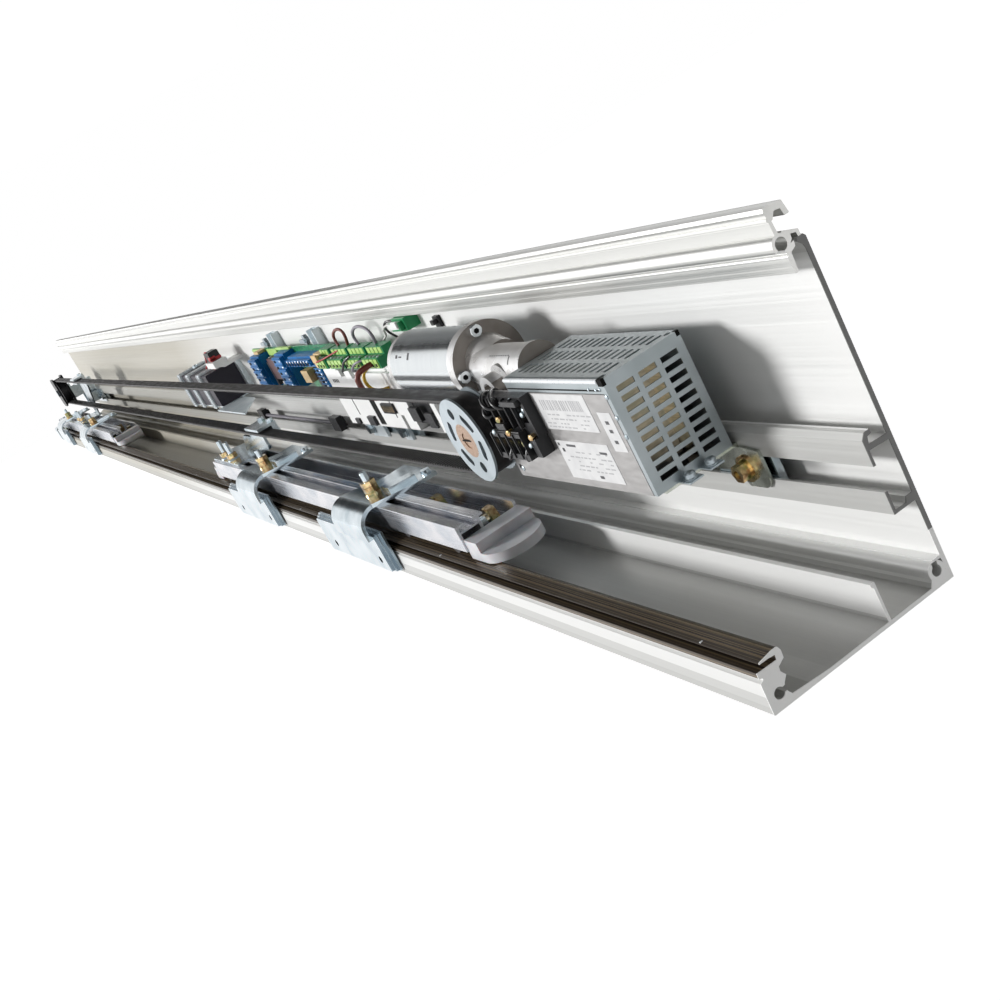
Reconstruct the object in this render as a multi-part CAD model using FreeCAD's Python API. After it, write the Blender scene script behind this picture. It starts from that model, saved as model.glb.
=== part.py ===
import FreeCAD, Part
import math
import os

# Sliding door operator for a double-leaf door. Millimetres, +X along the
# header towards the drive end, front at -Y, wall face at y = 0, base at z = 0.

V = FreeCAD.Vector

# Header
LENGTH = 2980.0
NEAR_X = LENGTH / 2.0
WALL_T = 2.8
WALL_LIP_Z = 194.9
BASE_T = 2.2
RAIL_FACE = -124.6
RIDGE_Y = -109.0
RIDGE_Z = 29.7
GAP = 0.3

# Slot for nuts on the wall
SLOT_FACE = -17.3
SLOT_SKIN = 1.6
SLOT_LOW = 61.0
SLOT_HIGH = 75.8
NUT_FACE = SLOT_FACE + SLOT_SKIN + 0.5
WALL_HOLE_Z = 68.4
WALL_HOLE_R = 4.0
WALL_HOLE_COUNT = 8
WALL_HOLE_PITCH = 380.0

# Belt and pulleys
BELT_PITCH = 5.0
PULLEY_TEETH = 35
PITCH_R = BELT_PITCH * PULLEY_TEETH / (2.0 * math.pi)
PULLEY_Z = 117.5
DRIVE_D = 318.0
IDLER_D = LENGTH - 232.0
BELT_FRONT = -88.0
BELT_BACK = -74.0
BELT_INNER_R = PITCH_R - 0.2
BELT_T = 1.8
TIP_R = BELT_INNER_R - GAP
GROOVE_DEPTH = 1.3
PULLEY_SIDE = 0.5
FLANGE_R = 32.0
FLANGE_T = 1.8
REAR_FLANGE_T = 1.2
HUB_R = 11.0
HUB_COLLAR_R = 13.0
HUB_DISC_R = 15.6
SHAFT_R = 6.0
SHAFT_DEPTH = 14.0
IDLER_AXLE_R = 5.0
FORK_FRONT = BELT_FRONT - 5.5
FORK_BACK = BELT_BACK + 6.5
FORK_FOOT_T = 3.0
RUN_FIT = 0.05
BOLT_R = 3.0

# Drive unit
MOTOR_Y = -42.0
MOTOR_Z = 153.0
MOTOR_R = 25.5
TUBE_Y = -47.0
TUBE_Z = 151.5
TUBE_R = 15.0
GEAR_CHAMBER_R = 24.4
FLANGE_D = DRIVE_D + GEAR_CHAMBER_R + 0.6
TUBE_D = DRIVE_D - 66.0
MOTOR_LENGTH = 137.0
MOTOR_END_D = FLANGE_D + MOTOR_LENGTH
MOTOR_D = FLANGE_D + 6.0
HOUSING_FRONT = -68.0
HOUSING_BACK = -23.0
MOTOR_FLANGE_R = 28.5
MOTOR_FLANGE_T = 9.0
NECK_R = 19.0
BRACKET_T = 3.0
DRIVE_FEET = (-56.0, 6.0)
BOSS_X = NEAR_X - DRIVE_D + 30.0
BOSS_Z = 143.0
FLANGE_SCREWS = ((-66.2, 153.0), (-43.5, 176.6))

# Supply box
BOX_LENGTH = 130.0
BOX_FAR_D = TUBE_D - 9.0
BOX_NEAR_D = BOX_FAR_D - BOX_LENGTH
FRONT_END_D = BOX_FAR_D + 48.0
BOX_FRONT = -76.0
BOX_BACK = -21.0
BOX_LOW = 84.0
BOX_TOP = 158.0
FRONT_TOP = BOX_TOP - 9.0
SHEET = 1.2
BRACKET_BOLT_D = BOX_NEAR_D - 2.0

# Carriages
BAR_LENGTH = 805.0
BAR_FRONT = -115.0
BAR_TOP = 57.0
BAR_BACK = -65.0
BAR_WEB = -97.0
BAR_SKIN = 2.4
BAR_FLOOR = 24.0
CEILING_LOW = 50.3
LEAF_HOLE_Z = 14.0
NEAR_BAR_D = 363.0
FAR_MARGIN = 125.0
FAR_BAR_D = LENGTH - FAR_MARGIN - BAR_LENGTH
WHEEL_R = 8.8
WHEEL_Z = RIDGE_Z + GAP + WHEEL_R
WHEEL_OFFSETS = (31.0, 137.0, BAR_LENGTH - 137.0, BAR_LENGTH - 31.0)
AXLE_R = 3.0
AXLE_END = -71.0
NEAR_HANGERS = (217.0, BAR_LENGTH - 222.0)
FAR_HANGERS = (287.0, BAR_LENGTH - 113.0)
NEAR_CLAMP = BAR_LENGTH - 193.0
FAR_CLAMP = 331.0
STRAP_T = 3.5
STRAP_FACE = -135.0
STRAP_LOW = 34.0
STRAP_W = 84.0
PLATE_T = 2.0
PLATE_W = 180.0
PLATE_SHIFT = -27.0
LEAF_HOLE = 62.0
STUD_SHIFT = 12.0
STUD_Y = -103.25
STUD_LOW = 51.8
CLAMP_STUDS = (-150.0, -115.0)
END_STOP_D = LENGTH - 38.0

# Controls on the wall
PACK_LOW = 94.6
PACK_SHEET = 2.0
PACK_H = 46.0
TAG_LOW = PACK_LOW + PACK_H + 2.0 * PACK_SHEET
CASE_FAR_D = 756.0
CASE_NEAR_D = MOTOR_END_D + 20.0
CASE_TOP = 148.0
CASE_FRONT = -40.0
CASE_FEET = (CASE_FAR_D + 14.0, (CASE_FAR_D + CASE_NEAR_D) / 2.0 + 47.0)
BOARD_NEAR_D = CASE_FAR_D + 19.0
BOARD_FAR_D = BOARD_NEAR_D + 325.0
BOARD_FRONT = -15.0
BOARD_T = 1.6
STRIPS = (BOARD_NEAR_D + 230.0, BOARD_NEAR_D + 64.0)
RELAYS = ((300.0, 260.0, 113.0, 156.0), (185.0, 147.0, 114.0, 158.0),
          (135.0, 41.0, 142.0, 154.0), (39.0, 13.0, 116.0, 145.0))
CABLE_FAR = BOARD_FAR_D + 93.0
CABLE_NEAR = BOARD_NEAR_D + 125.0
PACK_NEAR_D = BOARD_FAR_D + 162.0
PACK_LENGTH = 178.0
PACK_FAR_D = PACK_NEAR_D + PACK_LENGTH
PACK_BACK = -9.0
PACK_FRONT = -52.0
CASE_CUTS = ((665.0, 15.0, 87.0, 114.0), (597.0, 8.0, 83.0, 99.0), (565.0, 55.0, 85.0, 115.0))


def at(d):
    """Turns a distance from the drive end into x."""
    return NEAR_X - d


def block(x0, x1, y0, y1, z0, z1):
    return Part.makeBox(x1 - x0, y1 - y0, z1 - z0, V(x0, y0, z0))


def rod(x, y, z, radius, length, axis):
    return Part.makeCylinder(radius, length, V(x, y, z), V(*axis))


def along_x(d_near, d_far, y, z, radius):
    return rod(at(d_far), y, z, radius, d_far - d_near, (1, 0, 0))


def front_rod(x, z, radius, y_front, y_back):
    return rod(x, y_front, z, radius, y_back - y_front, (0, 1, 0))


def hexagon(x, y, z, flats, length, axis):
    """Hexagonal prism that starts at a point and runs along an axis."""
    radius = flats / math.sqrt(3.0)
    corners = []
    for k in range(7):
        turn = math.radians(60.0 * k)
        corners.append(V(radius * math.cos(turn), radius * math.sin(turn), 0))
    face = Part.Face(Part.makePolygon(corners))
    prism = face.extrude(V(0, 0, length))
    turn = FreeCAD.Rotation(V(0, 0, 1), V(*axis))
    prism.Placement = FreeCAD.Placement(V(x, y, z), turn)
    return prism


def placed(plane, level, a, b):
    if plane == "yz":
        return V(level, a, b)
    if plane == "xz":
        return V(a, level, b)
    return V(a, b, level)


def outline(points, plane, level):
    """Closed face from corner points; a third number rounds the corner."""
    corners = [(p[0], p[1], p[2] if len(p) > 2 else 0.0) for p in points]
    count = len(corners)
    starts = []
    ends = []
    middles = []
    for k in range(count):
        a, b, radius = corners[k]
        pa, pb, unused = corners[k - 1]
        na, nb, unused = corners[(k + 1) % count]
        back = math.hypot(pa - a, pb - b)
        ahead = math.hypot(na - a, nb - b)
        ua, ub = (pa - a) / back, (pb - b) / back
        wa, wb = (na - a) / ahead, (nb - b) / ahead
        if radius <= 0.0:
            starts.append((a, b))
            ends.append((a, b))
            middles.append(None)
            continue
        half = math.acos(max(-1.0, min(1.0, ua * wa + ub * wb))) / 2.0
        run = radius / math.tan(half)
        starts.append((a + ua * run, b + ub * run))
        ends.append((a + wa * run, b + wb * run))
        ma, mb = ua + wa, ub + wb
        size = math.hypot(ma, mb)
        reach = radius / math.sin(half) - radius
        middles.append((a + ma / size * reach, b + mb / size * reach))
    edges = []
    for k in range(count):
        if middles[k] is not None:
            arc = Part.Arc(placed(plane, level, *starts[k]),
                           placed(plane, level, *middles[k]),
                           placed(plane, level, *ends[k]))
            edges.append(arc.toShape())
        here = placed(plane, level, *ends[k])
        there = placed(plane, level, *starts[(k + 1) % count])
        if here.distanceToPoint(there) > 1e-6:
            edges.append(Part.makeLine(here, there))
    return Part.Face(Part.Wire(edges))


def prism(points, plane, start, end):
    shape = outline(points, plane, start)
    if plane == "yz":
        return shape.extrude(V(end - start, 0, 0))
    if plane == "xz":
        return shape.extrude(V(0, end - start, 0))
    return shape.extrude(V(0, 0, end - start))


def disc_face(y, z, radius, x):
    circle = Part.makeCircle(radius, V(x, y, z), V(1, 0, 0))
    return Part.Face(Part.Wire([circle]))


def joined(shapes):
    result = shapes[0]
    if len(shapes) > 1:
        result = shapes[0].fuse(shapes[1:])
    return result.removeSplitter()


def group(shapes):
    return Part.makeCompound(shapes)


def wire(points, radius, bend):
    """Six-sided cable along straight runs joined by tangent arcs."""
    stops = [V(*p) for p in points]
    pieces = []
    here = stops[0]
    for k in range(1, len(stops) - 1):
        before = (stops[k - 1] - stops[k]).normalize()
        after = (stops[k + 1] - stops[k]).normalize()
        half = before.getAngle(after) / 2.0
        run = bend / math.tan(half)
        start = stops[k] + before * run
        face = cable_section(start, before * -1.0, radius)
        pieces.append(face.extrude(here - start))
        centre = stops[k] + (before + after).normalize() * (bend / math.sin(half))
        axis = after.cross(before).normalize()
        turn = 180.0 - math.degrees(2.0 * half)
        pieces.append(face.revolve(centre, axis, turn))
        here = stops[k] + after * run
    end = cable_section(stops[-1], (stops[-1] - here).normalize(), radius)
    pieces.append(end.extrude(here - stops[-1]))
    return pieces[0].fuse(pieces[1:])


def cable_section(place, heading, radius):
    """Hexagonal face across a cable, with one flat square to the y axis."""
    side = V(1, 0, 0)
    if abs(heading.y) < 0.99 * heading.Length:
        side = heading.cross(V(0, 1, 0)).normalize()
    other = heading.cross(side).normalize()
    corners = []
    for k in range(7):
        turn = math.radians(60.0 * k)
        corners.append(place + side * (radius * math.cos(turn))
                       + other * (radius * math.sin(turn)))
    return Part.Face(Part.makePolygon(corners))


# Header extrusions

def header_extrusion():
    x = at(LENGTH)
    root = -WALL_T + 0.4
    wall = outline([(0, 0), (0, 193.4), (-1.2, WALL_LIP_Z), (-5.3, WALL_LIP_Z),
                    (-6.2, 193.2), (-3.4, 190.6), (-WALL_T, 188), (-WALL_T, 0)],
                   "yz", x)
    base = outline([(0, 0), (0, BASE_T), (-86, BASE_T), (-113.5, 4.2), (-113.5, 0)],
                   "yz", x)
    rail = outline([(RAIL_FACE, 0, 0.8), (-123.8, 18.4), (-121.6, 19.4),
                    (-121.6, 20.6), (-123.5, 21.2), (-123.3, 24.3), (-115.0, 24.0),
                    (-110.4, 23.9), (-110.2, 26.6), (-114.6, 27.2), (-119.9, 27.3),
                    (-119.9, 28.2), (RIDGE_Y - 2.0, RIDGE_Z, 1.0),
                    (RIDGE_Y + 1.6, RIDGE_Z, 1.6), (RIDGE_Y + 2.8, 27.0),
                    (-106.6, 22.6), (-111.0, 20.2), (-111.4, 17.8),
                    (-109.3, 14.4), (-112.2, 11.1), (-112.3, 6.6),
                    (-110.4, 3.9), (-110.4, 0)], "yz", x)
    rib = outline([(-43.9, 0.4), (-43.9, 25.3), (-46.8, 25.3), (-46.8, 23.6),
                   (-45.5, 22.6), (-45.5, 0.4)], "yz", x)
    inner = SLOT_FACE + SLOT_SKIN
    upper = outline([(SLOT_FACE, SLOT_HIGH), (SLOT_FACE, 90.6), (-14.6, 93.9, 1.0),
                     (-10.9, 93.9), (-10.9, 91.6), (-13.6, 91.2), (-14.6, 87.4),
                     (root, 86.6), (root, 83.4), (inner, 84.4), (inner, SLOT_HIGH)],
                    "yz", x)
    lower = outline([(SLOT_FACE, SLOT_LOW), (SLOT_FACE, 48.0), (root, 48.0),
                     (root, 52.7), (-7.2, 52.7), (-8.4, 49.8), (inner, 49.8),
                     (inner, SLOT_LOW)], "yz", x)
    fin = outline([(root, 13.2), (root, 15.0), (-8.4, 15.0), (-8.4, 13.6)], "yz", x)
    neck = outline([(root, 0.4), (-16.0, 0.4), (-14.4, 3.4), (-11.6, 8.6),
                    (-8.0, 8.6), (root, 6.0)], "yz", x)
    tube = disc_face(-8.0, 8.7, 5.5, x)
    port = disc_face(-8.0, 8.7, 3.1, x)
    throat = outline([(-9.6, 9.0), (-9.6, 13.6), (-5.9, 13.6), (-5.9, 9.0)], "yz", x)
    rail_port = disc_face(-116.8, 8.5, 3.2, x)
    rail_throat = outline([(-116.8, 7.4), (-116.8, 9.9), (-111.0, 10.6),
                           (-111.0, 7.0)], "yz", x)
    face = wall.fuse([base, rail, rib, upper, lower, fin, neck, tube])
    face = face.cut([port, throat, rail_port, rail_throat]).removeSplitter()
    shape = face.extrude(V(LENGTH, 0, 0))
    first = -WALL_HOLE_PITCH * (WALL_HOLE_COUNT - 1) / 2.0
    holes = []
    for k in range(WALL_HOLE_COUNT):
        x_hole = first + k * WALL_HOLE_PITCH
        holes.append(front_rod(x_hole, WALL_HOLE_Z, WALL_HOLE_R, -WALL_T - 1, 1))
    return shape.cut(holes)


def cover_hinge():
    x = at(LENGTH)
    ring = disc_face(-14.5, 196.1, 5.3, x)
    bore = disc_face(-14.5, 196.1, 3.5, x)
    mouth = outline([(-14.5, 196.1), (-13.4, 189.4), (-19.4, 189.0), (-18.6, 193.4)],
                    "yz", x)
    web = outline([(-15.9, 200.4), (-16.4, 212.6), (-14.6, 212.6), (-13.6, 200.4)],
                  "yz", x)
    head = outline([(-16.8, 213.0, 0.4), (-16.3, 215.3, 0.4), (-4.9, 214.6, 1.2),
                    (-3.3, 207.0, 0.5), (-6.4, 206.9, 0.4), (-7.2, 211.0, 0.8),
                    (-11.0, 211.6, 0.9), (-13.4, 208.0, 0.3), (-15.2, 208.0)],
                   "yz", x)
    nub = outline([(-17.0, 210.0, 0.4), (-17.0, 208.2, 0.4), (-15.4, 207.8),
                   (-15.4, 210.4)], "yz", x)
    arm = outline([(-13.6, 199.4), (-11.4, 201.4), (-2.4, 198.3, 0.8),
                   (-2.4, WALL_LIP_Z), (-4.2, WALL_LIP_Z), (-4.4, 197.2),
                   (-7.6, 198.0), (-7.9, 195.6), (-10.4, 193.2)],
                  "yz", x)
    leg = outline([(-10.8, 193.6), (-7.4, 194.6), (-7.6, 191.8), (-11.1, 190.2),
                   (-11.5, 180.2, 0.5), (-13.2, 180.2, 0.5), (-14.3, 189.0, 0.4),
                   (-13.0, 192.2)], "yz", x)
    face = ring.fuse([web, head, nub, arm, leg])
    face = face.cut([bore, mouth]).removeSplitter()
    return face.extrude(V(LENGTH, 0, 0))


# Belt drive

def belt_loop():
    """Plain band around both pulleys; its teeth are left to the looks."""
    drive = at(DRIVE_D)
    idler = at(IDLER_D)
    outer_r = BELT_INNER_R + BELT_T
    loops = []
    for radius in (outer_r, BELT_INNER_R):
        corners = [(drive + radius, PULLEY_Z + radius, radius - 0.01),
                   (idler - radius, PULLEY_Z + radius, radius - 0.01),
                   (idler - radius, PULLEY_Z - radius, radius - 0.01),
                   (drive + radius, PULLEY_Z - radius, radius - 0.01)]
        loops.append(prism(corners, "xz", BELT_FRONT, BELT_BACK))
    return loops[0].cut(loops[1])


def toothed_wheel(x):
    """Belt pulley body with one tapered groove for each belt tooth."""
    step = 2.0 * math.pi / PULLEY_TEETH
    root_r = TIP_R - GROOVE_DEPTH
    corners = []
    for k in range(PULLEY_TEETH):
        for radius, share in ((TIP_R, -0.28), (TIP_R, 0.28), (root_r, 0.40), (root_r, 0.60)):
            turn = (k + share) * step
            corners.append((x + radius * math.cos(turn),
                            PULLEY_Z + radius * math.sin(turn)))
    return prism(corners, "xz", BELT_FRONT - PULLEY_SIDE, BELT_BACK + PULLEY_SIDE)


def flange(x, y_front, y_back):
    return front_rod(x, PULLEY_Z, FLANGE_R, y_front, y_back)


def pulley_openings(x, front):
    """Centre hole, two round holes and four slots of the front flange."""
    openings = [front_rod(x, PULLEY_Z, HUB_COLLAR_R, front - 3, front + 1)]
    for k in range(6):
        turn = 102.0 + 60.0 * k
        if k in (0, 3):
            reach = math.radians(turn)
            openings.append(front_rod(x + 21.0 * math.cos(reach),
                                      PULLEY_Z + 21.0 * math.sin(reach), 4.2,
                                      front - 3, front + 1))
        else:
            slot = prism([(-8.5, 22.6, 1.6), (0, 24.2, 12), (8.5, 22.6, 1.6),
                          (7.0, 18.0, 1.6), (-7.0, 18.0, 1.6)], "xz", front - 3, front + 1)
            slot.rotate(V(0, 0, 0), V(0, 1, 0), 90.0 - turn)
            slot.translate(V(x, 0, PULLEY_Z))
            openings.append(slot)
    return openings


def drive_pulley_parts():
    x = at(DRIVE_D)
    front = BELT_FRONT - PULLEY_SIDE
    back = BELT_BACK + PULLEY_SIDE
    face = front - FLANGE_T
    recess = 1.6
    body = toothed_wheel(x)
    body = body.cut([front_rod(x, PULLEY_Z, HUB_R, front - 1, back + 1),
                     front_rod(x, PULLEY_Z, HUB_DISC_R, front - 1, front + recess)])
    near_flange = flange(x, face, front).cut(pulley_openings(x, front))
    far_flange = flange(x, back, back + REAR_FLANGE_T)
    far_flange = far_flange.cut(front_rod(x, PULLEY_Z, HUB_R, back - 1, back + 3))
    hub = joined([front_rod(x, PULLEY_Z, HUB_R, face, back + REAR_FLANGE_T),
                  front_rod(x, PULLEY_Z, HUB_COLLAR_R, face, front),
                  front_rod(x, PULLEY_Z, HUB_DISC_R, front, front + recess)])
    hub = hub.cut(front_rod(x, PULLEY_Z, SHAFT_R, face - 3, back + 3))
    shaft = front_rod(x, PULLEY_Z, SHAFT_R, front - 1.2, HOUSING_FRONT + SHAFT_DEPTH)
    screw_slot = block(x - 4.4, x + 4.4, front - 2, front - 0.2, PULLEY_Z - 0.8,
                       PULLEY_Z + 0.8)
    return {"drive_pulley": body, "pulley_flanges": group([near_flange, far_flange]),
            "pulley_hub": hub, "output_shaft": shaft.cut(screw_slot)}


def idler_parts():
    x = at(IDLER_D)
    front = BELT_FRONT - PULLEY_SIDE
    back = BELT_BACK + PULLEY_SIDE
    body = joined([front_rod(x, PULLEY_Z, TIP_R, front, back),
                   flange(x, front - REAR_FLANGE_T, front),
                   flange(x, back, back + REAR_FLANGE_T)])
    body = body.cut(front_rod(x, PULLEY_Z, IDLER_AXLE_R + RUN_FIT, front - 3, back + 3))
    axle = front_rod(x, PULLEY_Z, IDLER_AXLE_R, FORK_FRONT, FORK_BACK + FORK_FOOT_T)
    head = hexagon(x, FORK_FRONT - 4.0, PULLEY_Z, 15.0, 4.0, (0, 1, 0))
    return body, joined([axle, head])


def tensioner_parts():
    """Black fork round the idler, its silver foot in the nut slot and bolts."""
    x = at(IDLER_D)
    side = FLANGE_R + 2.0
    fork = prism([(x - side - 5, PULLEY_Z - 26, 6), (x - side - 5, PULLEY_Z + 26, 6),
                  (x - side + 8, PULLEY_Z + side, 6), (x + 14, PULLEY_Z + side, 6),
                  (x + 14, PULLEY_Z - side, 6), (x - side + 8, PULLEY_Z - side, 6)],
                 "xz", FORK_FRONT, FORK_BACK)
    room = prism([(x - side, PULLEY_Z - side - 1), (x - side, PULLEY_Z + side + 1),
                  (x + 30, PULLEY_Z + side + 1), (x + 30, PULLEY_Z - side - 1)],
                 "xz", BELT_FRONT - 2.5, BELT_BACK + 2.5)
    bore = front_rod(x, PULLEY_Z, IDLER_AXLE_R, FORK_FRONT - 1, FORK_BACK + 5)
    fork = fork.cut([room, bore])
    face = SLOT_FACE - FORK_FOOT_T
    foot = prism([(x - 20, 56, 3), (x - 20, 120, 3), (x + 23, 120), (x + 26, 88),
                  (x + 96, 88, 3), (x + 96, 56, 3)], "xz", face, SLOT_FACE)
    arm = block(x + 20, x + 23, FORK_BACK + FORK_FOOT_T, face, 92, 120)
    web = block(x - 20, x + 23, FORK_BACK, FORK_BACK + FORK_FOOT_T, 92, 128)
    screw_y = -42.0
    screw_z = 80.0
    anchor = block(x + 60, x + 63, screw_y - 8, face, 66, 88)
    lug = block(x + 20, x + 23, screw_y - 8, face, 70, 92)
    screw = rod(x + 20, screw_y, screw_z, BOLT_R, 58, (1, 0, 0))
    nuts = [hexagon(x + 23, screw_y, screw_z, 10.0, 5.0, (1, 0, 0)),
            hexagon(x + 55, screw_y, screw_z, 10.0, 5.0, (1, 0, 0))]
    holes = [front_rod(x + 10, WALL_HOLE_Z, BOLT_R, -22, -16),
             front_rod(x + 86, WALL_HOLE_Z, BOLT_R, -22, -16), bore,
             rod(x + 10, screw_y, screw_z, BOLT_R, 70, (1, 0, 0))]
    foot = joined([foot, arm, web, anchor, lug]).cut(holes)
    return fork, foot, joined([screw] + nuts)


# Drive unit

def gearbox_housing():
    """Cast housing: worm tube, wheel chamber, motor flange and bored boss."""
    x = at(DRIVE_D)
    tube = along_x(TUBE_D, FLANGE_D, TUBE_Y, TUBE_Z, TUBE_R)
    end_disc = along_x(TUBE_D - 5.5, TUBE_D, TUBE_Y, TUBE_Z, TUBE_R + 1.0)
    neck = Part.makeCone(NECK_R, NECK_R - 5.0, 26.0,
                         V(at(FLANGE_D - MOTOR_FLANGE_T), MOTOR_Y, MOTOR_Z), V(1, 0, 0))
    chamber = front_rod(x, PULLEY_Z, GEAR_CHAMBER_R, HOUSING_FRONT + 3.0, HOUSING_BACK)
    nose = front_rod(x, PULLEY_Z, 12.0, HOUSING_FRONT, HOUSING_FRONT + 3.0)
    web = block(x - 24.0, x + 26.0, -60.0, -26.0, PULLEY_Z + 8.0, MOTOR_Z)
    ring = front_rod(BOSS_X, BOSS_Z, 12.5, HOUSING_FRONT - 2.4, -50.0)
    step = front_rod(BOSS_X + 7.0, BOSS_Z + 3.0, 14.0, HOUSING_FRONT + 6.0, -50.0)
    plate = along_x(FLANGE_D - MOTOR_FLANGE_T, FLANGE_D, MOTOR_Y, MOTOR_Z, MOTOR_FLANGE_R)
    body = joined([tube, end_disc, neck, chamber, nose, web, ring, step, plate])
    cuts = [front_rod(BOSS_X, BOSS_Z, 7.5, HOUSING_FRONT - 4.0, -58.0),
            front_rod(x, PULLEY_Z, SHAFT_R + RUN_FIT, HOUSING_FRONT - 1.0,
                      HOUSING_FRONT + 15.0)]
    return body.cut(cuts)


def motor_parts():
    can = along_x(MOTOR_D, MOTOR_END_D - 9.0, MOTOR_Y, MOTOR_Z, MOTOR_R)
    band = along_x(FLANGE_D, MOTOR_D, MOTOR_Y, MOTOR_Z, MOTOR_R + 1.6)
    band = band.cut(along_x(FLANGE_D - 1, MOTOR_D + 1, MOTOR_Y, MOTOR_Z, 22.0))
    spigot = along_x(FLANGE_D, MOTOR_D, MOTOR_Y, MOTOR_Z, 22.0)
    cap = along_x(MOTOR_END_D - 9.0, MOTOR_END_D, MOTOR_Y, MOTOR_Z, MOTOR_R)
    cap = cap.makeChamfer(2.5, [e for e in cap.Edges
                                if abs(e.CenterOfMass.x - at(MOTOR_END_D)) < 0.01
                                and e.Closed])
    boss = along_x(MOTOR_END_D, MOTOR_END_D + 5.0, MOTOR_Y, MOTOR_Z, 9.0)
    return joined([can, spigot]), band, joined([cap, boss])


def flange_screws():
    """Two cap screws on the motor flange."""
    shapes = []
    for y, z in FLANGE_SCREWS:
        head_x = at(FLANGE_D - MOTOR_FLANGE_T)
        head = rod(head_x, y, z, 4.0, 5.0, (1, 0, 0))
        socket = hexagon(head_x + 2.5, y, z, 4.0, 4.0, (1, 0, 0))
        shapes.append(head.cut(socket))
    return group(shapes)


def drive_bracket():
    """Bent plate that carries the gearbox on the nut slot."""
    x = at(DRIVE_D)
    plate = prism([(x - 70, 55), (x - 70, 100), (x - 44, 128), (x + 22, 128), (x + 22, 55)],
                  "xz", SLOT_FACE - BRACKET_T, SLOT_FACE)
    pads = [block(x - 24, x - 8, HOUSING_BACK, SLOT_FACE - BRACKET_T, 98, 126),
            block(x + 4, x + 20, HOUSING_BACK, SLOT_FACE - BRACKET_T, 98, 126)]
    holes = [front_rod(x + k, WALL_HOLE_Z, BOLT_R, -22, -16) for k in DRIVE_FEET]
    return joined([plate] + pads).cut(holes)


# Supply box

def box_cover():
    """Vented sheet cover with slots in its near end and its top."""
    near = at(BOX_NEAR_D)
    far = at(BOX_FAR_D)
    shell = block(far, near, BOX_FRONT, BOX_BACK, BOX_LOW, BOX_TOP)
    lengthwise = [e for e in shell.Edges
                  if abs(e.CenterOfMass.z - BOX_TOP) < 0.01
                  and abs(e.CenterOfMass.y - BOX_FRONT) < 0.01]
    shell = shell.makeFillet(3.0, lengthwise)
    room = block(far + SHEET, near - SHEET, BOX_FRONT + SHEET, BOX_BACK - SHEET,
                 BOX_LOW - 1, BOX_TOP - SHEET)
    window = block(far - 1.0, near - 4.0, BOX_FRONT - 1, BOX_FRONT + SHEET + 0.2,
                   BOX_LOW - 1, FRONT_TOP)
    cuts = [room, window]
    slot_w = 12.0
    slot_h = 3.4
    for column in range(3):
        y0 = BOX_FRONT + 6.2 + column * 15.6
        for row in range(10):
            z0 = BOX_LOW + 6.0 + row * 6.3
            cuts.append(block(near - 3, near + 1, y0, y0 + slot_w, z0, z0 + slot_h))
    for column in range(3):
        y0 = BOX_FRONT + 8.0 + column * 15.2
        for row in range(15):
            x0 = far + 8.0 + row * 7.9
            cuts.append(block(x0, x0 + 3.6, y0, y0 + 11.0, BOX_TOP - 3, BOX_TOP + 1))
    cuts.append(rod(near - 4.5, BOX_FRONT + 3.6, BOX_TOP - 4, 2.6, 6, (0, 0, 1)))
    cuts.append(rod(near - 5.0, BOX_BACK - 4.5, BOX_TOP - 4, 2.2, 6, (0, 0, 1)))
    return shell.cut(cuts)


def box_front():
    """Front plate of the supply with its long foot and rear floor."""
    near = at(BOX_NEAR_D) - 4.3
    far = at(BOX_FAR_D)
    foot = at(FRONT_END_D)
    step = foot + 11.0
    plate = prism([(near, BOX_LOW), (near, FRONT_TOP - 0.4), (far + 4.3, FRONT_TOP - 0.4),
                   (far + 4.3, FRONT_TOP), (step, FRONT_TOP, 2), (step, BOX_LOW + 14.0),
                   (foot, BOX_LOW + 14.0, 2), (foot, BOX_LOW, 2)],
                  "xz", BOX_FRONT - 0.2, BOX_FRONT + 1.2)
    plate = plate.cut(front_rod(foot + 5, BOX_LOW + 7, 2.1, BOX_FRONT - 2, BOX_FRONT + 3))
    floor = block(far + 4.3, near, BOX_FRONT + 1.2, BOX_BACK - 2.0, BOX_LOW,
                  BOX_LOW + 1.5)
    lid = block(step, far - 0.3, BOX_FRONT + 1.2, BOX_BACK - 10.0, BOX_LOW,
                BOX_LOW + 1.5)
    return joined([plate, floor, lid])


def supply_coil():
    """Coils, heat sink and board seen through the vents."""
    near = at(BOX_NEAR_D)
    floor = BOX_LOW + 1.5
    coil = block(near - 62, near - 12, BOX_FRONT + 8, BOX_FRONT + 34, floor,
                 BOX_TOP - 10.0)
    upright = [e for e in coil.Edges
               if abs(abs(e.tangentAt(e.FirstParameter).z) - 1.0) < 0.01]
    return coil.makeFillet(5.0, upright)


def supply_sink():
    near = at(BOX_NEAR_D)
    floor = BOX_LOW + 1.5
    base = block(near - 110, near - 14, BOX_BACK - 14, BOX_BACK - 11, floor,
                 BOX_TOP - 12.0)
    fins = []
    for k in range(5):
        x0 = near - 104 + k * 18.0
        fins.append(block(x0, x0 + 2.0, BOX_BACK - 17.5, BOX_BACK - 14, floor + 5,
                          BOX_TOP - 16.0))
    return joined([base] + fins)


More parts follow.
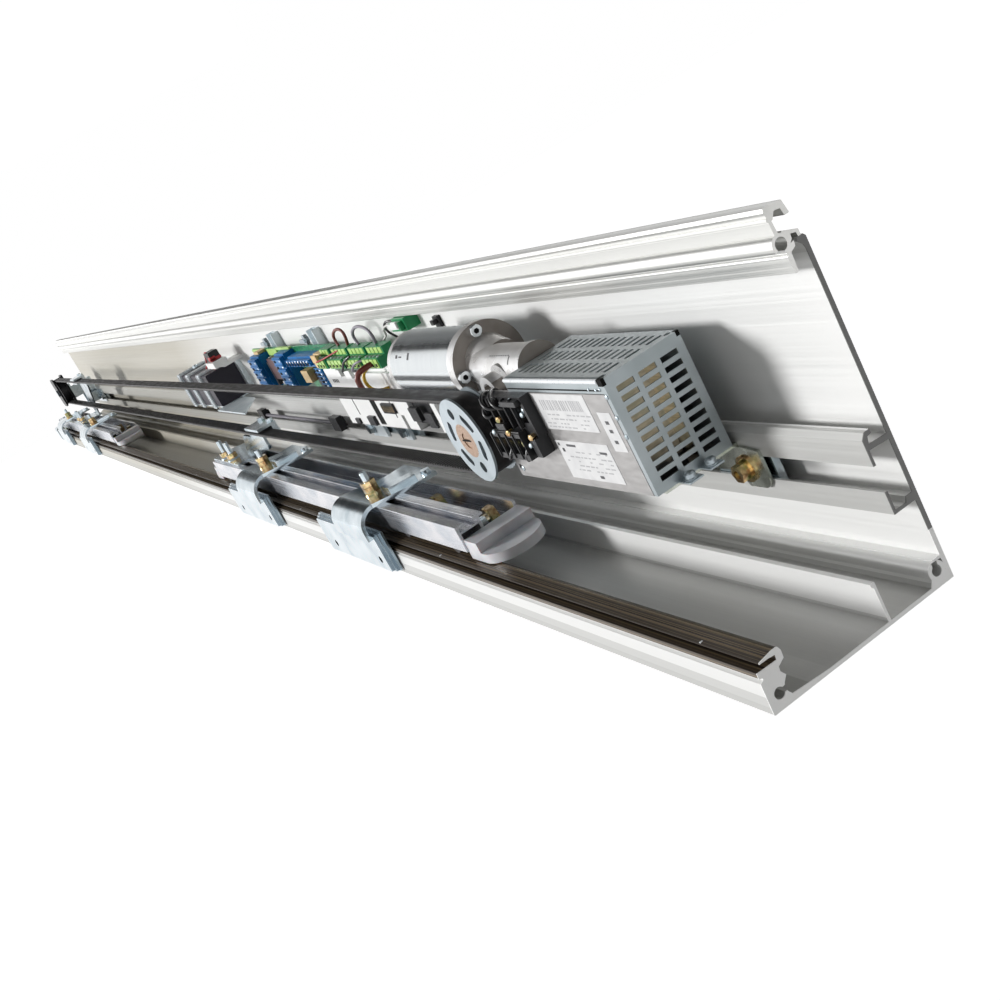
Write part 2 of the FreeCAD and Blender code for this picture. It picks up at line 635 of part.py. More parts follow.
def terminal_block():
    """Two-tier terminal strip in front of the supply plate."""
    left = at(BOX_FAR_D + 29.0)
    right = at(BOX_FAR_D - 29.0)
    back = BOX_FRONT - 0.2
    upper = block(left, right, back - 7.0, back, BOX_LOW + 37.0, FRONT_TOP)
    lower = block(left, right - 14.0, back - 13.0, back, BOX_LOW + 23.0, BOX_LOW + 42.0)
    body = joined([upper, lower])
    cell = 8.0
    cuts = []
    for k in range(5):
        start = left + 2.5 + k * 11.0
        cuts.append(block(start, start + cell, back - 8.0, back - 3.0, BOX_LOW + 47.0,
                          FRONT_TOP - 4.0))
        if k < 4:
            cuts.append(block(start, start + cell, back - 14.0, back - 8.5,
                              BOX_LOW + 27.0, BOX_LOW + 39.0))
    return body.cut(cuts)


def supply_bracket():
    """Bent sheet: flange on the nut slot, shelf under the supply box."""
    near = at(BOX_NEAR_D - 19.0)
    far = at(BOX_FAR_D + 19.0)
    low = BOX_LOW - 2.0
    flange_face = prism([(near, low - 2.0), (near, 56.0, 7), (near - 22, 56.0),
                         (near - 30, 66.0), (far, 66.0), (far, low),
                         (near - 20, low), (near - 14, low, 4)],
                        "xz", -19.5, SLOT_FACE)
    shelf = block(far, at(BOX_NEAR_D) - 1.0, BOX_FRONT + 6.0, SLOT_FACE, low, BOX_LOW)
    body = joined([flange_face, shelf])
    return body.cut(front_rod(at(BRACKET_BOLT_D), WALL_HOLE_Z, BOLT_R, -22, -16))


def bracket_bolt():
    """Yellow bolt, washer and spring washer in the bracket flange."""
    x = at(BRACKET_BOLT_D)
    z = WALL_HOLE_Z
    washer = front_rod(x, z, 8.5, -21.1, -19.5)
    spring = front_rod(x, z, 6.2, -22.7, -21.1)
    head = hexagon(x, -27.5, z, 10.0, 4.8, (0, 1, 0))
    recess = front_rod(x, z, 2.6, -28, -26.4)
    shank = front_rod(x, z, BOLT_R, -19.5, NUT_FACE)
    return joined([washer, spring, head, shank]).cut(recess)


def slot_nuts():
    """Nut strips held behind the lips of the slot."""
    spans = ((BRACKET_BOLT_D - 21.0, BRACKET_BOLT_D + 39.0),
             (DRIVE_D - 22.0, DRIVE_D + 76.0),
             (CASE_FEET[1] - 20.0, CASE_FEET[0] + 20.0), (IDLER_D - 104.0, IDLER_D + 10.0))
    shapes = []
    for near, far in spans:
        shapes.append(block(at(far), at(near), NUT_FACE, NUT_FACE + 4.4, 56.6, 80.2))
    return group(shapes)


def slot_bolts():
    """Zinc bolts of the gearbox, controller and tensioner feet."""
    idler = at(IDLER_D)
    drive = at(DRIVE_D)
    face = SLOT_FACE - BRACKET_T
    spots = [drive + k for k in DRIVE_FEET] + [idler + 10, idler + 86]
    spots = spots + [at(d) for d in CASE_FEET]
    shapes = []
    for x in spots:
        washer = front_rod(x, WALL_HOLE_Z, 6.5, face - 1.4, face)
        head = hexagon(x, face - 5.6, WALL_HOLE_Z, 10.0, 4.2, (0, 1, 0))
        shank = front_rod(x, WALL_HOLE_Z, BOLT_R, face, NUT_FACE)
        shapes.append(joined([washer, head, shank]))
    return group(shapes)


# Carriages

def carriage_bar(right):
    """Open-topped section: wheel chamber in front, rib, trough at the back."""
    skin = BAR_SKIN
    inner = BAR_FRONT + skin
    web_back = BAR_WEB + skin
    section = outline([(BAR_FRONT, 36.5), (BAR_FRONT, BAR_TOP, 0.9), (-107.0, BAR_TOP),
                       (-107.0, BAR_TOP - 2.0), (inner, BAR_TOP - 2.0),
                       (inner, CEILING_LOW + 1.5), (BAR_WEB, CEILING_LOW + 1.5),
                       (BAR_WEB, BAR_TOP - 2.2), (-99.5, BAR_TOP - 2.2),
                       (-99.5, BAR_TOP, 1.0), (-91.0, BAR_TOP, 1.0),
                       (-91.0, BAR_TOP - 2.2), (web_back, BAR_TOP - 2.2),
                       (web_back, BAR_FLOOR + skin), (BAR_BACK - skin, BAR_FLOOR + skin),
                       (BAR_BACK - skin, 50.5), (BAR_BACK, 50.5), (BAR_BACK, BAR_FLOOR),
                       (BAR_WEB, BAR_FLOOR), (BAR_WEB, CEILING_LOW), (inner, CEILING_LOW),
                       (inner, 36.5)], "yz", right - BAR_LENGTH)
    shape = section.extrude(V(BAR_LENGTH, 0, 0))
    holes = []
    for offset in WHEEL_OFFSETS:
        holes.append(front_rod(right - offset, WHEEL_Z, AXLE_R, BAR_WEB - 1, web_back + 1))
    return shape.cut(holes)


def end_blocks(right):
    """Pale moulded bumpers: a plug in the bar's end and a low round nose."""
    shapes = []
    deep = 23.0
    reach = 51.0
    front = BAR_FRONT + 1.5
    back = BAR_BACK
    section = [(front, 30.5), (front, 46.0), (back, 46.0), (back, BAR_FLOOR),
               (-103.0, BAR_FLOOR), (-103.0, 30.5)]
    for x, way in ((right, 1.0), (right - BAR_LENGTH, -1.0)):
        plug = prism(section, "yz", min(x, x + way * deep), max(x, x + way * deep))
        nose = prism([(x + way * (deep - 1.0), front), (x + way * reach, front, 23.5),
                      (x + way * reach, back - 0.5, 23.5),
                      (x + way * (deep - 1.0), back - 0.5)], "xy", 30.5, 38.0)
        shapes.append(joined([plug, nose]))
    return group(shapes)


def wheel(right, offset):
    """Steel-cored wheel whose rear flange runs behind the ridge."""
    x = right - offset
    tread = front_rod(x, WHEEL_Z, WHEEL_R, -112.0, -105.8)
    rim = front_rod(x, WHEEL_Z, WHEEL_R + 2.2, -105.8, -103.4)
    hub = front_rod(x, WHEEL_Z, 5.4, -103.4, BAR_WEB - GAP)
    bore = front_rod(x, WHEEL_Z, AXLE_R + RUN_FIT, -114, -90)
    return joined([tread, rim, hub]).cut(bore)


def axles(right):
    """Axle pins pressed into the bar's web, with a sleeve in the trough."""
    shapes = []
    for offset in WHEEL_OFFSETS:
        x = right - offset
        shank = front_rod(x, WHEEL_Z, AXLE_R, BAR_FRONT + BAR_SKIN, AXLE_END)
        sleeve = front_rod(x, WHEEL_Z, 5.0, BAR_WEB + BAR_SKIN, -80.5)
        shapes.append(joined([shank, sleeve]))
    return group(shapes)


def axle_nuts(right):
    """Large brass washers and nuts that stand in the rear trough."""
    shapes = []
    for offset in WHEEL_OFFSETS:
        x = right - offset
        washer = front_rod(x, WHEEL_Z, 9.5, -80.5, -78.9)
        nut = hexagon(x, -78.9, WHEEL_Z, 17.0, 6.4, (0, 1, 0))
        hole = front_rod(x, WHEEL_Z, AXLE_R, -84, -70)
        shapes.append(joined([washer, nut]).cut(hole))
    return group(shapes)


def strap(x):
    """Hanger strap: skewed top plate, large bend and front drop."""
    t = STRAP_T
    low = BAR_TOP
    bend = 18.0
    half = STRAP_W / 2.0
    root = STRAP_FACE + bend
    section = outline([(root + 2.0, low), (root + 2.0, low + t), (STRAP_FACE, low + t, bend),
                       (STRAP_FACE, STRAP_LOW), (STRAP_FACE + t, STRAP_LOW),
                       (STRAP_FACE + t, low, bend - t)], "yz", x - half)
    front = section.extrude(V(STRAP_W, 0, 0))
    top = prism([(x - half, root), (x - half, root + 4), (x - 15, -80), (x - 15, -60),
                 (x + half + 20, -60), (x + half + 20, -80), (x + half, root)], "xy",
                low, low + t)
    hole = rod(x + STUD_SHIFT, STUD_Y, low - 1, BOLT_R, t + 2, (0, 0, 1))
    return joined([front, top]).cut(hole)


def rib_plate(x):
    """Stiffener bar along the top of a hanger strap."""
    z0 = BAR_TOP + STRAP_T
    return prism([(x + 24, -98), (x + 36, -74), (x + 50, -74), (x + 42, -98)], "xy",
                 z0, z0 + 4.0)


def hangers(right, offsets):
    return group([strap(right - o) for o in offsets])


def hanger_ribs(right, offsets):
    return group([rib_plate(right - o) for o in offsets])


def leaf_plates(right, offsets):
    """Three stacked sheets behind each strap; the door leaf bolts to them."""
    shapes = []
    for offset in offsets:
        x = right - offset + PLATE_SHIFT
        half = PLATE_W / 2.0
        back = STRAP_FACE + STRAP_T + 3.0 * PLATE_T
        rear = prism([(x - half, 4), (x - half, 42, 5), (x + half, 42), (x + half, 4, 3)],
                     "xz", back - PLATE_T, back)
        middle = prism([(x - half, 4), (x - half, 40, 4), (x + half - 6, 40),
                        (x + half - 6, 4)], "xz", back - 2 * PLATE_T, back - PLATE_T)
        face = prism([(x - half, 4), (x - half, 38, 4), (x + half - 13, 38),
                      (x + half - 13, 4)], "xz", back - 3 * PLATE_T, back - 2 * PLATE_T)
        stack = joined([rear, middle, face])
        holes = [front_rod(x - LEAF_HOLE, LEAF_HOLE_Z, 3.3, -140, -120),
                 front_rod(x + LEAF_HOLE, LEAF_HOLE_Z, 3.3, -140, -120)]
        shapes.append(stack.cut(holes))
    return group(shapes)


def studs(right, offsets):
    """Zinc height studs through the straps, with a foot in the bar."""
    shapes = []
    for offset in offsets:
        x = right - offset + STUD_SHIFT
        top = BAR_TOP + STRAP_T
        stud = rod(x, STUD_Y, STUD_LOW, BOLT_R, BAR_TOP + 24.0 - STUD_LOW, (0, 0, 1))
        foot = block(x - 8, x + 8, -111.5, -99.8, STUD_LOW, BAR_TOP - 2.0)
        rear = rod(x + 42, -66.0, top, 4.2, 4.0, (0, 0, 1))
        shapes.append(joined([stud, foot]))
        shapes.append(rear)
    return group(shapes)


def stud_nuts(right, offsets):
    """Plated nuts on the height studs, one pair to each strap."""
    shapes = []
    for offset in offsets:
        x = right - offset + STUD_SHIFT
        top = BAR_TOP + STRAP_T
        washer = rod(x, STUD_Y, top, 7.4, 1.6, (0, 0, 1))
        lower = hexagon(x, STUD_Y, top + 1.6, 12.0, 5.4, (0, 0, 1))
        upper = hexagon(x, STUD_Y, top + 7.4, 12.0, 4.6, (0, 0, 1))
        hole = rod(x, STUD_Y, top - 1, BOLT_R, 20, (0, 0, 1))
        shapes.append(joined([washer, lower]).cut(hole))
        shapes.append(upper.cut(hole))
    return group(shapes)


def belt_bracket(right, offset, strand_z):
    """Bent plate from the bar to one strand, with its clamp jaws and screws."""
    x = right - offset
    low = BAR_TOP
    jaw_half = 30.0
    jaw_top = strand_z - BELT_T
    foot = prism([(x - 190, -112), (x - 190, -92), (x - 165, -66), (x - 60, -66),
                  (x - 60, -112)], "xy", low, low + 3.0)
    upright = prism([(x - 104, low), (x - 70, jaw_top - 3, 6), (x + jaw_half, jaw_top - 3),
                     (x + jaw_half, jaw_top - 16, 5), (x - 60, low + 9), (x - 60, low)],
                    "xz", -88.0, -85.0)
    if strand_z > PULLEY_Z:
        upright.translate(V(0, 15.6, 0))
    shelf = block(x - jaw_half, x + jaw_half, -88, -66, jaw_top - 3.0, jaw_top)
    pad = block(x - jaw_half, x + jaw_half, BELT_BACK + 0.6, -67, jaw_top, strand_z + 4.6)
    upper = block(x - jaw_half, x + jaw_half, -90, -67, strand_z + 4.6, strand_z + 7.6)
    jaw = joined([pad, upper])
    holes = [rod(x + k, STUD_Y, low - 1, BOLT_R, 5, (0, 0, 1)) for k in CLAMP_STUDS]
    screws = []
    jaw_y = -70.2
    for spot in (x - 20.0, x + 20.0):
        reach = rod(spot, jaw_y, jaw_top - 7.0, 2.0, strand_z + 14.6 - jaw_top, (0, 0, 1))
        head = hexagon(spot, jaw_y, strand_z + 7.6, 7.0, 3.2, (0, 0, 1))
        hole = rod(spot, jaw_y, jaw_top - 8.0, 2.0, 26, (0, 0, 1))
        holes.append(hole)
        jaw = jaw.cut(hole)
        screws.append(joined([reach, head]))
    bracket = joined([foot, upright, shelf]).cut(holes)
    for k in CLAMP_STUDS:
        spot = x + k
        stud = rod(spot, STUD_Y, STUD_LOW, BOLT_R, low + 25.0 - STUD_LOW, (0, 0, 1))
        foot_nut = block(spot - 8, spot + 8, -111.5, -99.8, STUD_LOW, low - 2.0)
        screws.append(joined([stud, foot_nut]))
    return bracket, jaw, group(screws)


def bracket_nuts(right, offset):
    shapes = []
    for k in CLAMP_STUDS:
        spot = right - offset + k
        nut = hexagon(spot, STUD_Y, BAR_TOP + 3.0, 12.0, 7.0, (0, 0, 1))
        shapes.append(nut.cut(rod(spot, STUD_Y, BAR_TOP, BOLT_R, 20, (0, 0, 1))))
    return shapes


def carriage_parts(name, right, offsets, clamp, strand_z):
    bracket, jaw, screws = belt_bracket(right, clamp, strand_z)
    nuts = stud_nuts(right, offsets)
    zinc = studs(right, offsets).Solids + axles(right).Solids + screws.Solids
    brass = nuts.Solids + axle_nuts(right).Solids + bracket_nuts(right, clamp)
    shells = hangers(right, offsets).Solids + hanger_ribs(right, offsets).Solids
    parts = {}
    parts[name + "_bar"] = carriage_bar(right)
    parts[name + "_bumpers"] = end_blocks(right)
    parts[name + "_hangers"] = group(shells + leaf_plates(right, offsets).Solids)
    parts[name + "_fixings"] = group(zinc)
    parts[name + "_brass_nuts"] = group(brass)
    parts[name + "_belt_clamp"] = group([bracket, jaw])
    for k, offset in enumerate(WHEEL_OFFSETS):
        parts[name + "_wheel_" + str(k + 1)] = wheel(right, offset)
    return parts


# Controls on the wall

def battery_pack():
    low = PACK_LOW + PACK_SHEET
    body = block(at(PACK_FAR_D), at(PACK_NEAR_D), PACK_FRONT, PACK_BACK, low,
                 low + PACK_H)
    ends = [e for e in body.Edges if e.Length > 170]
    return body.makeFillet(2.0, ends)


def battery_frame():
    """Sheet tray on the wall with three straps over the pack."""
    low = PACK_LOW
    inner = low + PACK_SHEET
    high = inner + PACK_H
    far = at(PACK_FAR_D)
    near = at(PACK_NEAR_D)
    tray = block(far - 12, near + 12, PACK_BACK, -WALL_T, low, high + PACK_SHEET)
    floor = block(far - 4, near, PACK_FRONT + PACK_SHEET, PACK_BACK, low, inner)
    wing = prism([(near, -60), (near + 152, -60), (near + 74, -24), (near, -24)], "xy",
                 low, inner)
    shapes = [tray, floor, wing]
    strap_front = PACK_FRONT - 2.2
    for middle in (near - 38, near - 110, near - 168):
        front = block(middle - 9, middle + 9, strap_front, PACK_FRONT, low,
                      high + PACK_SHEET)
        top = block(middle - 9, middle + 9, strap_front, PACK_BACK, high,
                    high + PACK_SHEET)
        shapes.append(front)
        shapes.append(top)
    return joined(shapes)


def battery_plug():
    low = TAG_LOW + 12.0
    near = at(PACK_NEAR_D)
    plug = block(near + 4, near + 30, -40, -26, low, low + 13.0)
    return plug.makeFillet(2.0, [e for e in plug.Edges if e.Length > 20])


def battery_tag():
    near = at(PACK_NEAR_D)
    body = block(near, near + 46, -43, -24, TAG_LOW + 4.0, TAG_LOW + 12.0)
    stem = block(near + 4, near + 40, -30, -WALL_T, TAG_LOW, TAG_LOW + 4.0)
    return joined([body, stem])


def battery_leads():
    shapes = []
    top = PACK_LOW + PACK_SHEET + PACK_H
    for k in range(2):
        z = TAG_LOW + 16.0 + 5.0 * k
        x0 = at(PACK_NEAR_D) + 4
        drop = x0 - 18.0 - 5.0 * k
        shapes.append(wire([(x0, -33, z), (drop, -33, z), (drop, -33, top)], 1.3, 9.0))
    return shapes


def relay_board():
    back = BOARD_FRONT + BOARD_T
    board = block(at(BOARD_FAR_D), at(BOARD_NEAR_D), BOARD_FRONT, back, 108, 160)
    posts = []
    for d in (BOARD_FAR_D - 12.0, BOARD_NEAR_D + 162.0):
        for z in (116.0, 152.0):
            posts.append(front_rod(at(d), z, 3.0, back, -WALL_T))
    return joined([board] + posts)


def relay_blocks():
    """Blue relay and terminal blocks with stepped fronts."""
    shapes = []
    for far, near, low, high in RELAYS:
        left = at(BOARD_NEAR_D + far)
        right = at(BOARD_NEAR_D + near)
        base = block(left, right, BOARD_FRONT - 13.0, BOARD_FRONT, low, high)
        step = block(left + 3, right - 3, BOARD_FRONT - 18.0, BOARD_FRONT - 13.0,
                     low + 3, high - 2)
        body = joined([base, step])
        slots = []
        for k in range(3):
            z0 = low + 6.0 + k * (high - low - 12.0) / 3.0
            slots.append(block(left - 1, right + 1, BOARD_FRONT - 19.0,
                               BOARD_FRONT - 16.0, z0, z0 + 2.0))
        shapes.append(body.cut(slots))
    return group(shapes)


def small_parts():
    """Tan capacitors and fuse holders between the relays."""
    shapes = []
    for far, near, depth, low, high in ((285.0, 265.0, 10.0, 157, 160),
                                        (247.0, 221.0, 9.0, 124, 150),
                                        (119.0, 95.0, 12.0, 122, 136),
                                        (37.0, 15.0, 12.0, 147, 156)):
        shapes.append(block(at(BOARD_NEAR_D + far), at(BOARD_NEAR_D + near),
                            BOARD_FRONT - depth, BOARD_FRONT, low, high))
    return group(shapes)


def strip_brackets():
    """Upright channel clips that hold the board to the wall."""
    shapes = []
    for d in STRIPS:
        x = at(d)
        back = block(x - 11, x + 11, -5.0, -WALL_T, 134, 175)
        sides = [block(x - 11, x - 9, -12.0, -5.0, 134, 175),
                 block(x + 9, x + 11, -12.0, -5.0, 134, 175)]
        tab = block(x - 38, x - 11, -5.0, -WALL_T, 158, 171)
        shapes.append(joined([back, tab] + sides))
    return group(shapes)


def strip_knobs():
    shapes = []
    for d in STRIPS:
        x = at(d) - 30
        stem = front_rod(x, 165, 2.2, -9.0, -5.0)
        head = hexagon(x, -13.0, 165, 11.0, 4.0, (0, 1, 0))
        wing = block(x - 8.5, x + 8.5, -16.0, -13.0, 163, 167)
        shapes.append(joined([stem, head, wing]))
    return group(shapes)


def controller_case():
    """White control housing, stepped over the slot, with open cable bays."""
    left = at(CASE_FAR_D)
    right = at(CASE_NEAR_D)
    body = prism([(CASE_FRONT, 84, 2), (CASE_FRONT, CASE_TOP, 4), (-WALL_T, CASE_TOP),
                  (-WALL_T, PACK_LOW), (-17.8, PACK_LOW), (-17.8, 84)],
                 "yz", left, right)
    cuts = []
    for d, width, low, high in CASE_CUTS:
        cuts.append(block(at(d), at(d) + width, CASE_FRONT - 1, -24.0, low, high))
    cuts.append(block(left + 40, right - 10, CASE_FRONT - 1, CASE_FRONT + 4.0,
                      CASE_TOP - 7.0, CASE_TOP + 1))
    return body.cut(cuts)


def controller_plugs():
    shapes = []
    for d, width, low, high in CASE_CUTS:
        shapes.append(block(at(d), at(d) + width, CASE_FRONT + 4.0, -24.0,
                            max(low, 90.0), high - 4))
    return group(shapes)


def controller_feet():
    """Two feet below the controller, bolted to the slot."""
    shapes = []
    for d in CASE_FEET:
        x = at(d)
        low = 58.0
        high = 84.0
        if x - 9 < at(CASE_FAR_D):
            foot = block(x - 9, at(CASE_FAR_D) + 20, SLOT_FACE - BRACKET_T, SLOT_FACE,
                         low, high)
        else:
            foot = block(x - 9, x + 9, SLOT_FACE - BRACKET_T, SLOT_FACE, low, high)
        shapes.append(foot.cut(front_rod(x, WALL_HOLE_Z, BOLT_R, -22, -16)))
    return group(shapes)


def wire_terminals():
    """Green plug rows above the controller."""
    shapes = []
    for far, near in ((750.0, 720.0), (712.0, 666.0), (660.0, 614.0), (608.0, 565.0)):
        base = block(at(far), at(near), -44.0, -26.0, 148, 158)
        top = block(at(far), at(near), -36.0, -26.0, 158, 165)
        shapes.append(joined([base, top]))
    return group(shapes)


def grey_wires():
    """Two loops that stand over the plug rows."""
    loops = []
    for start, end, high in ((700.0, 672.0, 186.0), (640.0, 592.0, 184.0)):
        loops.append(wire([(at(start), -30, 165), (at(start), -30, high),
                           (at(end), -30, high), (at(end), -30, 165)], 1.5, 11.0))
    return loops


def brown_wires():
    """Motor cable: out of the last plug, down in front of the case."""
    d = 584.0
    return [wire([(at(d), -44.0, 153), (at(d), -62.0, 153), (at(d), -62.0, 124),
                  (at(d), CASE_FRONT, 124)], 2.6, 8.0)]


def top_plug():
    """Green plug of the cover switch near the top profile."""
    body = block(at(570), at(540), -16, -WALL_T, 168, 179.6)
    step = block(at(566), at(544), -20, -16, 170, 178)
    return joined([body, step])


def top_clip():
    foot = block(at(502), at(492), -6, -WALL_T, 164, 174)
    hook = block(at(500), at(494), -10, -6, 168, 172)
    return joined([foot, hook])


def slot_cable():
    """Signal cable that lies in front of the slot between two plugs."""
    y = SLOT_FACE - 3.0
    return rod(at(CABLE_FAR), y, WALL_HOLE_Z, 2.0, CABLE_FAR - CABLE_NEAR, (1, 0, 0))


def slot_plugs():
    shapes = []
    y = SLOT_FACE - 3.0
    for far, near in ((CABLE_FAR + 24.0, CABLE_FAR), (CABLE_NEAR, CABLE_NEAR - 26.0)):
        body = block(at(far), at(near), y - 4.0, SLOT_FACE, SLOT_LOW - 0.8,
                     SLOT_HIGH + 0.8)
        tail = block(at(far), at(near), SLOT_FACE, NUT_FACE, SLOT_LOW + 2, SLOT_HIGH - 2)
        shapes.append(joined([body, tail]))
    return group(shapes)


# End stop at the far end of the rail

def end_stop():
    x = at(END_STOP_D)
    clamp = prism([(RAIL_FACE - GAP - 4.0, 6.0, 2), (RAIL_FACE - GAP - 4.0, 36.0, 4),
                   (-96.0, 36.0, 2), (-96.0, 30.0 + GAP), (RAIL_FACE - GAP, 30.0 + GAP),
                   (RAIL_FACE - GAP, 6.0)], "yz", x - 24, x + 24)
    post = block(x + 14, x + 24, -112.0, -96.0, 36.0, 52.0)
    return joined([clamp, post])


def stop_buffer():
    x = at(END_STOP_D) + 24.0
    pad = rod(x, -104.0, 44.0, 7.0, 12.0, (1, 0, 0))
    return pad


def header_parts():
    return {"header_extrusion": header_extrusion(), "cover_hinge": cover_hinge(),
            "end_stop": end_stop()}


def drive_parts():
    parts = drive_pulley_parts()
    parts["toothed_belt"] = belt_loop()
    parts["idler_pulley"], axle = idler_parts()
    parts["tensioner_fork"], parts["tensioner_foot"], screw = tensioner_parts()
    parts["tensioner_screws"] = group([axle, screw])
    parts["gearbox_housing"] = gearbox_housing()
    parts["motor_can"], band, cap = motor_parts()
    parts["motor_ends"] = group([band, cap])
    parts["drive_bracket"] = drive_bracket()
    return parts


def supply_parts():
    return {"box_cover": box_cover(), "box_front": box_front(),
            "supply_core": group([supply_coil(), supply_sink()]),
            "supply_bracket": supply_bracket(), "bracket_bolt": bracket_bolt(),
            "flange_screws": flange_screws(), "terminal_block": terminal_block(),
            "slot_nuts": slot_nuts(),
            "slot_bolts": slot_bolts()}


def control_parts():
    clips = strip_brackets().Solids + controller_feet().Solids
    green = wire_terminals().Solids + [top_plug()]
    black = [battery_plug(), top_clip(), stop_buffer()] + slot_plugs().Solids
    return {"battery_pack": battery_pack(), "battery_frame": battery_frame(),
            "battery_tag": battery_tag(), "black_fittings": group(black),
            "relay_board": relay_board(), "relay_blocks": relay_blocks(),
            "small_parts": small_parts(), "wall_clips": group(clips),
            "strip_knobs": strip_knobs(), "controller_case": controller_case(),
            "controller_plugs": controller_plugs(), "green_plugs": group(green),
            "control_wires": group(grey_wires() + brown_wires() + battery_leads()),
            "slot_cable": slot_cable()}


def build_all():
    parts = header_parts()
    parts.update(drive_parts())
    parts.update(supply_parts())
    parts.update(control_parts())
    parts.update(carriage_parts("near", at(NEAR_BAR_D), NEAR_HANGERS, NEAR_CLAMP,
                                PULLEY_Z - PITCH_R))
    parts.update(carriage_parts("far", at(FAR_BAR_D), FAR_HANGERS, FAR_CLAMP,
                                PULLEY_Z + PITCH_R))
    return parts


os.makedirs("parts", exist_ok=True)
for name, shape in build_all().items():
    shape.exportStep("parts/" + name + ".step")
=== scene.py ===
import math
import random

import bpy
from mathutils import Matrix, Vector


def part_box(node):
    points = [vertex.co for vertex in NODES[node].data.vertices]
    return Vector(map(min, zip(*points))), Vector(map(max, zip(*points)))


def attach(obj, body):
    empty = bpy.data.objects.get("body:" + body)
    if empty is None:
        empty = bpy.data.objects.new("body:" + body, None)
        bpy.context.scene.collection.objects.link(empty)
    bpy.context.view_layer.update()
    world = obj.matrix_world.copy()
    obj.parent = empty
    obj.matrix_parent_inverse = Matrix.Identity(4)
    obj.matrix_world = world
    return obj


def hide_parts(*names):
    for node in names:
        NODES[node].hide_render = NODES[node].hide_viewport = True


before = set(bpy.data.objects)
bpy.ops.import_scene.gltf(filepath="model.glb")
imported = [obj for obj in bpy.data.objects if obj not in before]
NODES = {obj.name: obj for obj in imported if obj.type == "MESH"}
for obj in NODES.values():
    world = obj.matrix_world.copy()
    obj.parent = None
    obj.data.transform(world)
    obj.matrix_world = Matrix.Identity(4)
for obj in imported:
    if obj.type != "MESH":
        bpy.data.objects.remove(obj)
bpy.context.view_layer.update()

# Sliding door operator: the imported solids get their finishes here, with the small
# parts that the solids leave out. Metres, +X towards the drive end, front at -Y.

MM = 0.001
NEAR_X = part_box("header_extrusion")[1].x

# Directions, and the edge angle in degrees up to which a face is smooth.
FRONT = (0, -1, 0)
UP = (0, 0, 1)
ALONG = (1, 0, 0)
SHARP_ANGLE = 32.0


def at(d):
    """Place along the header, from a distance in millimetres to the drive end."""
    return NEAR_X - d * MM


# Camera

def make_camera():
    """Camera solved on the straight edges of the photographed profile."""
    place = Vector((2.0301, -0.3766, 0.3340))
    right = Vector((0.4051, 0.7942, -0.4530))
    up = Vector((-0.0846, 0.5259, 0.8463))
    ahead = Vector((-0.9103, 0.3045, -0.2803))
    data = bpy.data.cameras.new("camera")
    data.lens = 49.40
    data.sensor_width = 36.0
    data.clip_start = 0.05
    data.clip_end = 50.0
    camera = bpy.data.objects.new("camera", data)
    camera.matrix_world = Matrix(((right.x, up.x, -ahead.x, place.x),
                                  (right.y, up.y, -ahead.y, place.y),
                                  (right.z, up.z, -ahead.z, place.z),
                                  (0, 0, 0, 1)))
    bpy.context.scene.collection.objects.link(camera)
    bpy.context.scene.camera = camera


# Shader maths

class Value:
    """What a shader socket gives; sums, products and comparisons add their nodes."""

    def __init__(self, finish, link):
        self.finish = finish
        self.link = link

    def _with(self, operation, a, b=0.0):
        return self.finish.node("ShaderNodeMath", {"operation": operation}, {0: a, 1: b})

    def __add__(self, other):
        return self._with("ADD", self, other)

    __radd__ = __add__

    def __rsub__(self, other):
        return self._with("SUBTRACT", other, self)

    def __mul__(self, other):
        return self._with("MULTIPLY", self, other)

    def __gt__(self, other):
        return self._with("GREATER_THAN", self, other)

    def __lt__(self, other):
        return self._with("LESS_THAN", self, other)

    def abs(self):
        return self._with("ABSOLUTE", self)

    def most(self, other):
        return self._with("MAXIMUM", self, other)

    def least(self, other):
        return self._with("MINIMUM", self, other)


# Sockets of a colour Mix node, whose names repeat: share, first and second colour, result.
MIX_SHARE, MIX_A, MIX_B, MIX_RESULT = 0, 6, 7, 2


